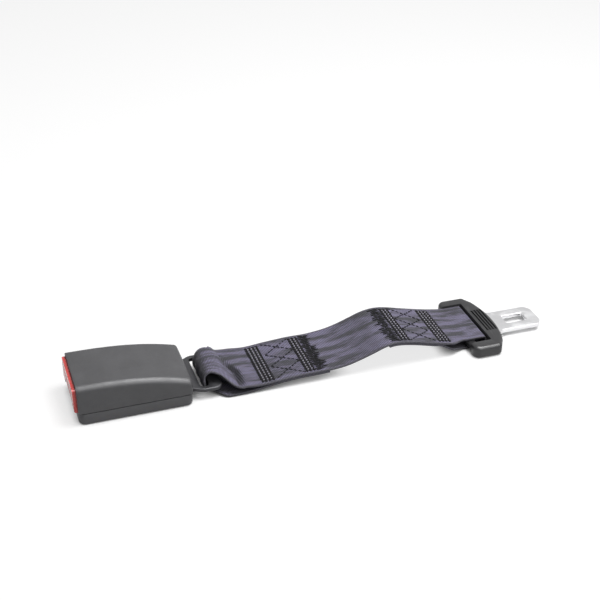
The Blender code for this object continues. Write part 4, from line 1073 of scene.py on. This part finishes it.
back = grip_low.x
outline = arc(back + BACK_CORNER, half - BACK_CORNER, BACK_CORNER, 180, 90, 10)
outline += arc(bow(half) - FRONT_CORNER, half - FRONT_CORNER, FRONT_CORNER, 90, 15, 10)
outline += [(bow(y), y) for y in ((half - 2 * FRONT_CORNER) * (1 - i / 24) for i in range(1, 24))]
outline += [(x, -y) for x, y in reversed(outline)]
block = prism(outline, 0, GRIP_HEIGHT)
bevel_where(block, lambda e: abs(e.verts[0].co.z - e.verts[1].co.z) < 1e-6, GRIP_ROUND, 8)
cuts = [prism(rounded(BAR_X - FAR, BODY_X, -SLOT_HALF, SLOT_HALF, INNER_CORNER, 6), -FAR, FAR)]
for i in range(GROOVES):
    x = BODY_X + GROOVE_START + GROOVE_PITCH * i
    groove = box(x - GROOVE_HALF, x + GROOVE_HALF, -GROOVE_REACH, GROOVE_REACH,
                 GRIP_HEIGHT - GROOVE_DEPTH, GRIP_HEIGHT + FAR)
    bevel_where(groove, lambda e: (max(v.co.z for v in e.verts) < GRIP_HEIGHT
                                   and e.calc_length() > GROOVE_REACH), 0.0004, 3)
    cuts.append(groove)
grip = to_bmesh(combine(block, cuts, "DIFFERENCE"))
bar_outline = arc(BAR_X + BAR_FLAT, BAR_Z, BAR_ROUND, 90, -90, 12)
bar_outline += arc(BAR_X - BAR_FLAT, BAR_Z, BAR_ROUND, 270, 90, 12)
grip = to_bmesh(combine(grip, [prism(bar_outline, -BAR_REACH, BAR_REACH, "XZ")], "UNION"))
room_half = BLADE_HALF + GAP
mouth = box(BOW_X - 0.006, BOW_X + FAR, -room_half, room_half, PLATE_LOW - GAP, PLATE_HIGH + GAP)
grip_mesh = eased(combine(grip, [mouth], "DIFFERENCE"), MOULD_EDGE, 2, 50)
keep("moulded_grip", grip_mesh, "tongue", GRIP, ["tongue_grip"])

# %% [markdown]
# ## What the cloth is
#
# The strap is one sheet of webbing, cut to 48 by about 400 mm and folded back on itself.

# %% [markdown]
# ## Floor and light
#
# The picture is a plain studio shot on white. The floor is a pale diffuse sheet that takes a soft shadow.
# Where the camera or a shiny surface looks at it, part of it glows as plain white. Close to the extender
# that glow fades out, so that the dark places under it stay dark. A soft lamp overhead does most of the
# lighting, a weak one fills the near side, and the world adds a little. A wide card only shines in glossy
# surfaces, and draws the bright band along the buckle's edge.

# %% Build the studio
bm = bmesh.new()
bmesh.ops.create_grid(bm, x_segments=1, y_segments=1, size=3)
bmesh.ops.translate(bm, vec=(0, 0, -0.0001), verts=bm.verts)
floor = bpy.data.objects.new("floor", to_mesh(bm))
scene.collection.objects.link(floor)


def seen_share(tree, direct, mirrored):
    """One amount where the camera looks, another in reflections, and 0 where light only bounces."""
    path = put(tree, "LightPath")
    straight = sum_of(tree, "MAXIMUM", path.outputs["Is Camera Ray"], path.outputs["Is Transmission Ray"])
    return sum_of(tree, "MULTIPLY_ADD", straight, direct,
                  times(tree, path.outputs["Is Glossy Ray"], mirrored))


paper = bpy.data.materials.new("Floor paper")
paper.use_nodes = True
tree = paper.node_tree
tree.nodes.remove(tree.nodes["Principled BSDF"])
bounced = put(tree, "LightPath").outputs["Is Diffuse Ray"]
tone = blend_colours(tree, bounced, (0.86, 0.86, 0.86, 1), (0.40, 0.40, 0.40, 1))
matte = put(tree, "BsdfDiffuse", {"Color": tone})
glow = put(tree, "Emission", {"Color": (1, 1, 1, 1), "Strength": 1.25})
clear = put(tree, "AmbientOcclusion", {"Distance": 0.010}, samples=8).outputs["AO"]
share = times(tree, seen_share(tree, 0.60, 0.42), spread(tree, clear, 0.15, 0.85))
mixed = put(tree, "MixShader", {0: share, 1: matte.outputs[0], 2: glow.outputs[0]})
feed(tree, tree.nodes["Material Output"], {"Surface": mixed.outputs[0]})
floor.data.materials.append(paper)

world = bpy.data.worlds.new("studio")
world.use_nodes = True
scene.world = world
tree = world.node_tree
strength = sum_of(tree, "ADD", seen_share(tree, 0.82, 0.50), 0.18)
feed(tree, tree.nodes["Background"], {"Color": (1, 1, 1, 1), "Strength": strength})


def soft_lamp(name, place, size, power, shines_only=False):
    light = bpy.data.lights.new(name, "AREA")
    light.shape = "DISK"
    light.size = size
    light.energy = power
    lamp = bpy.data.objects.new(name, light)
    lamp.location = place
    lamp.rotation_euler = (-Vector(place)).to_track_quat("-Z", "Y").to_euler()
    lamp.visible_diffuse = not shines_only
    scene.collection.objects.link(lamp)


soft_lamp("overhead_softbox", (0.30, -0.05, 1.1), 0.6, 10.5)
soft_lamp("front_fill", (0.25, -0.90, 0.45), 0.5, 2.2)
soft_lamp("shine_card", (0.20, -0.38, 0.85), 1.1, 17.0, True)
scene.view_settings.view_transform = "Standard"
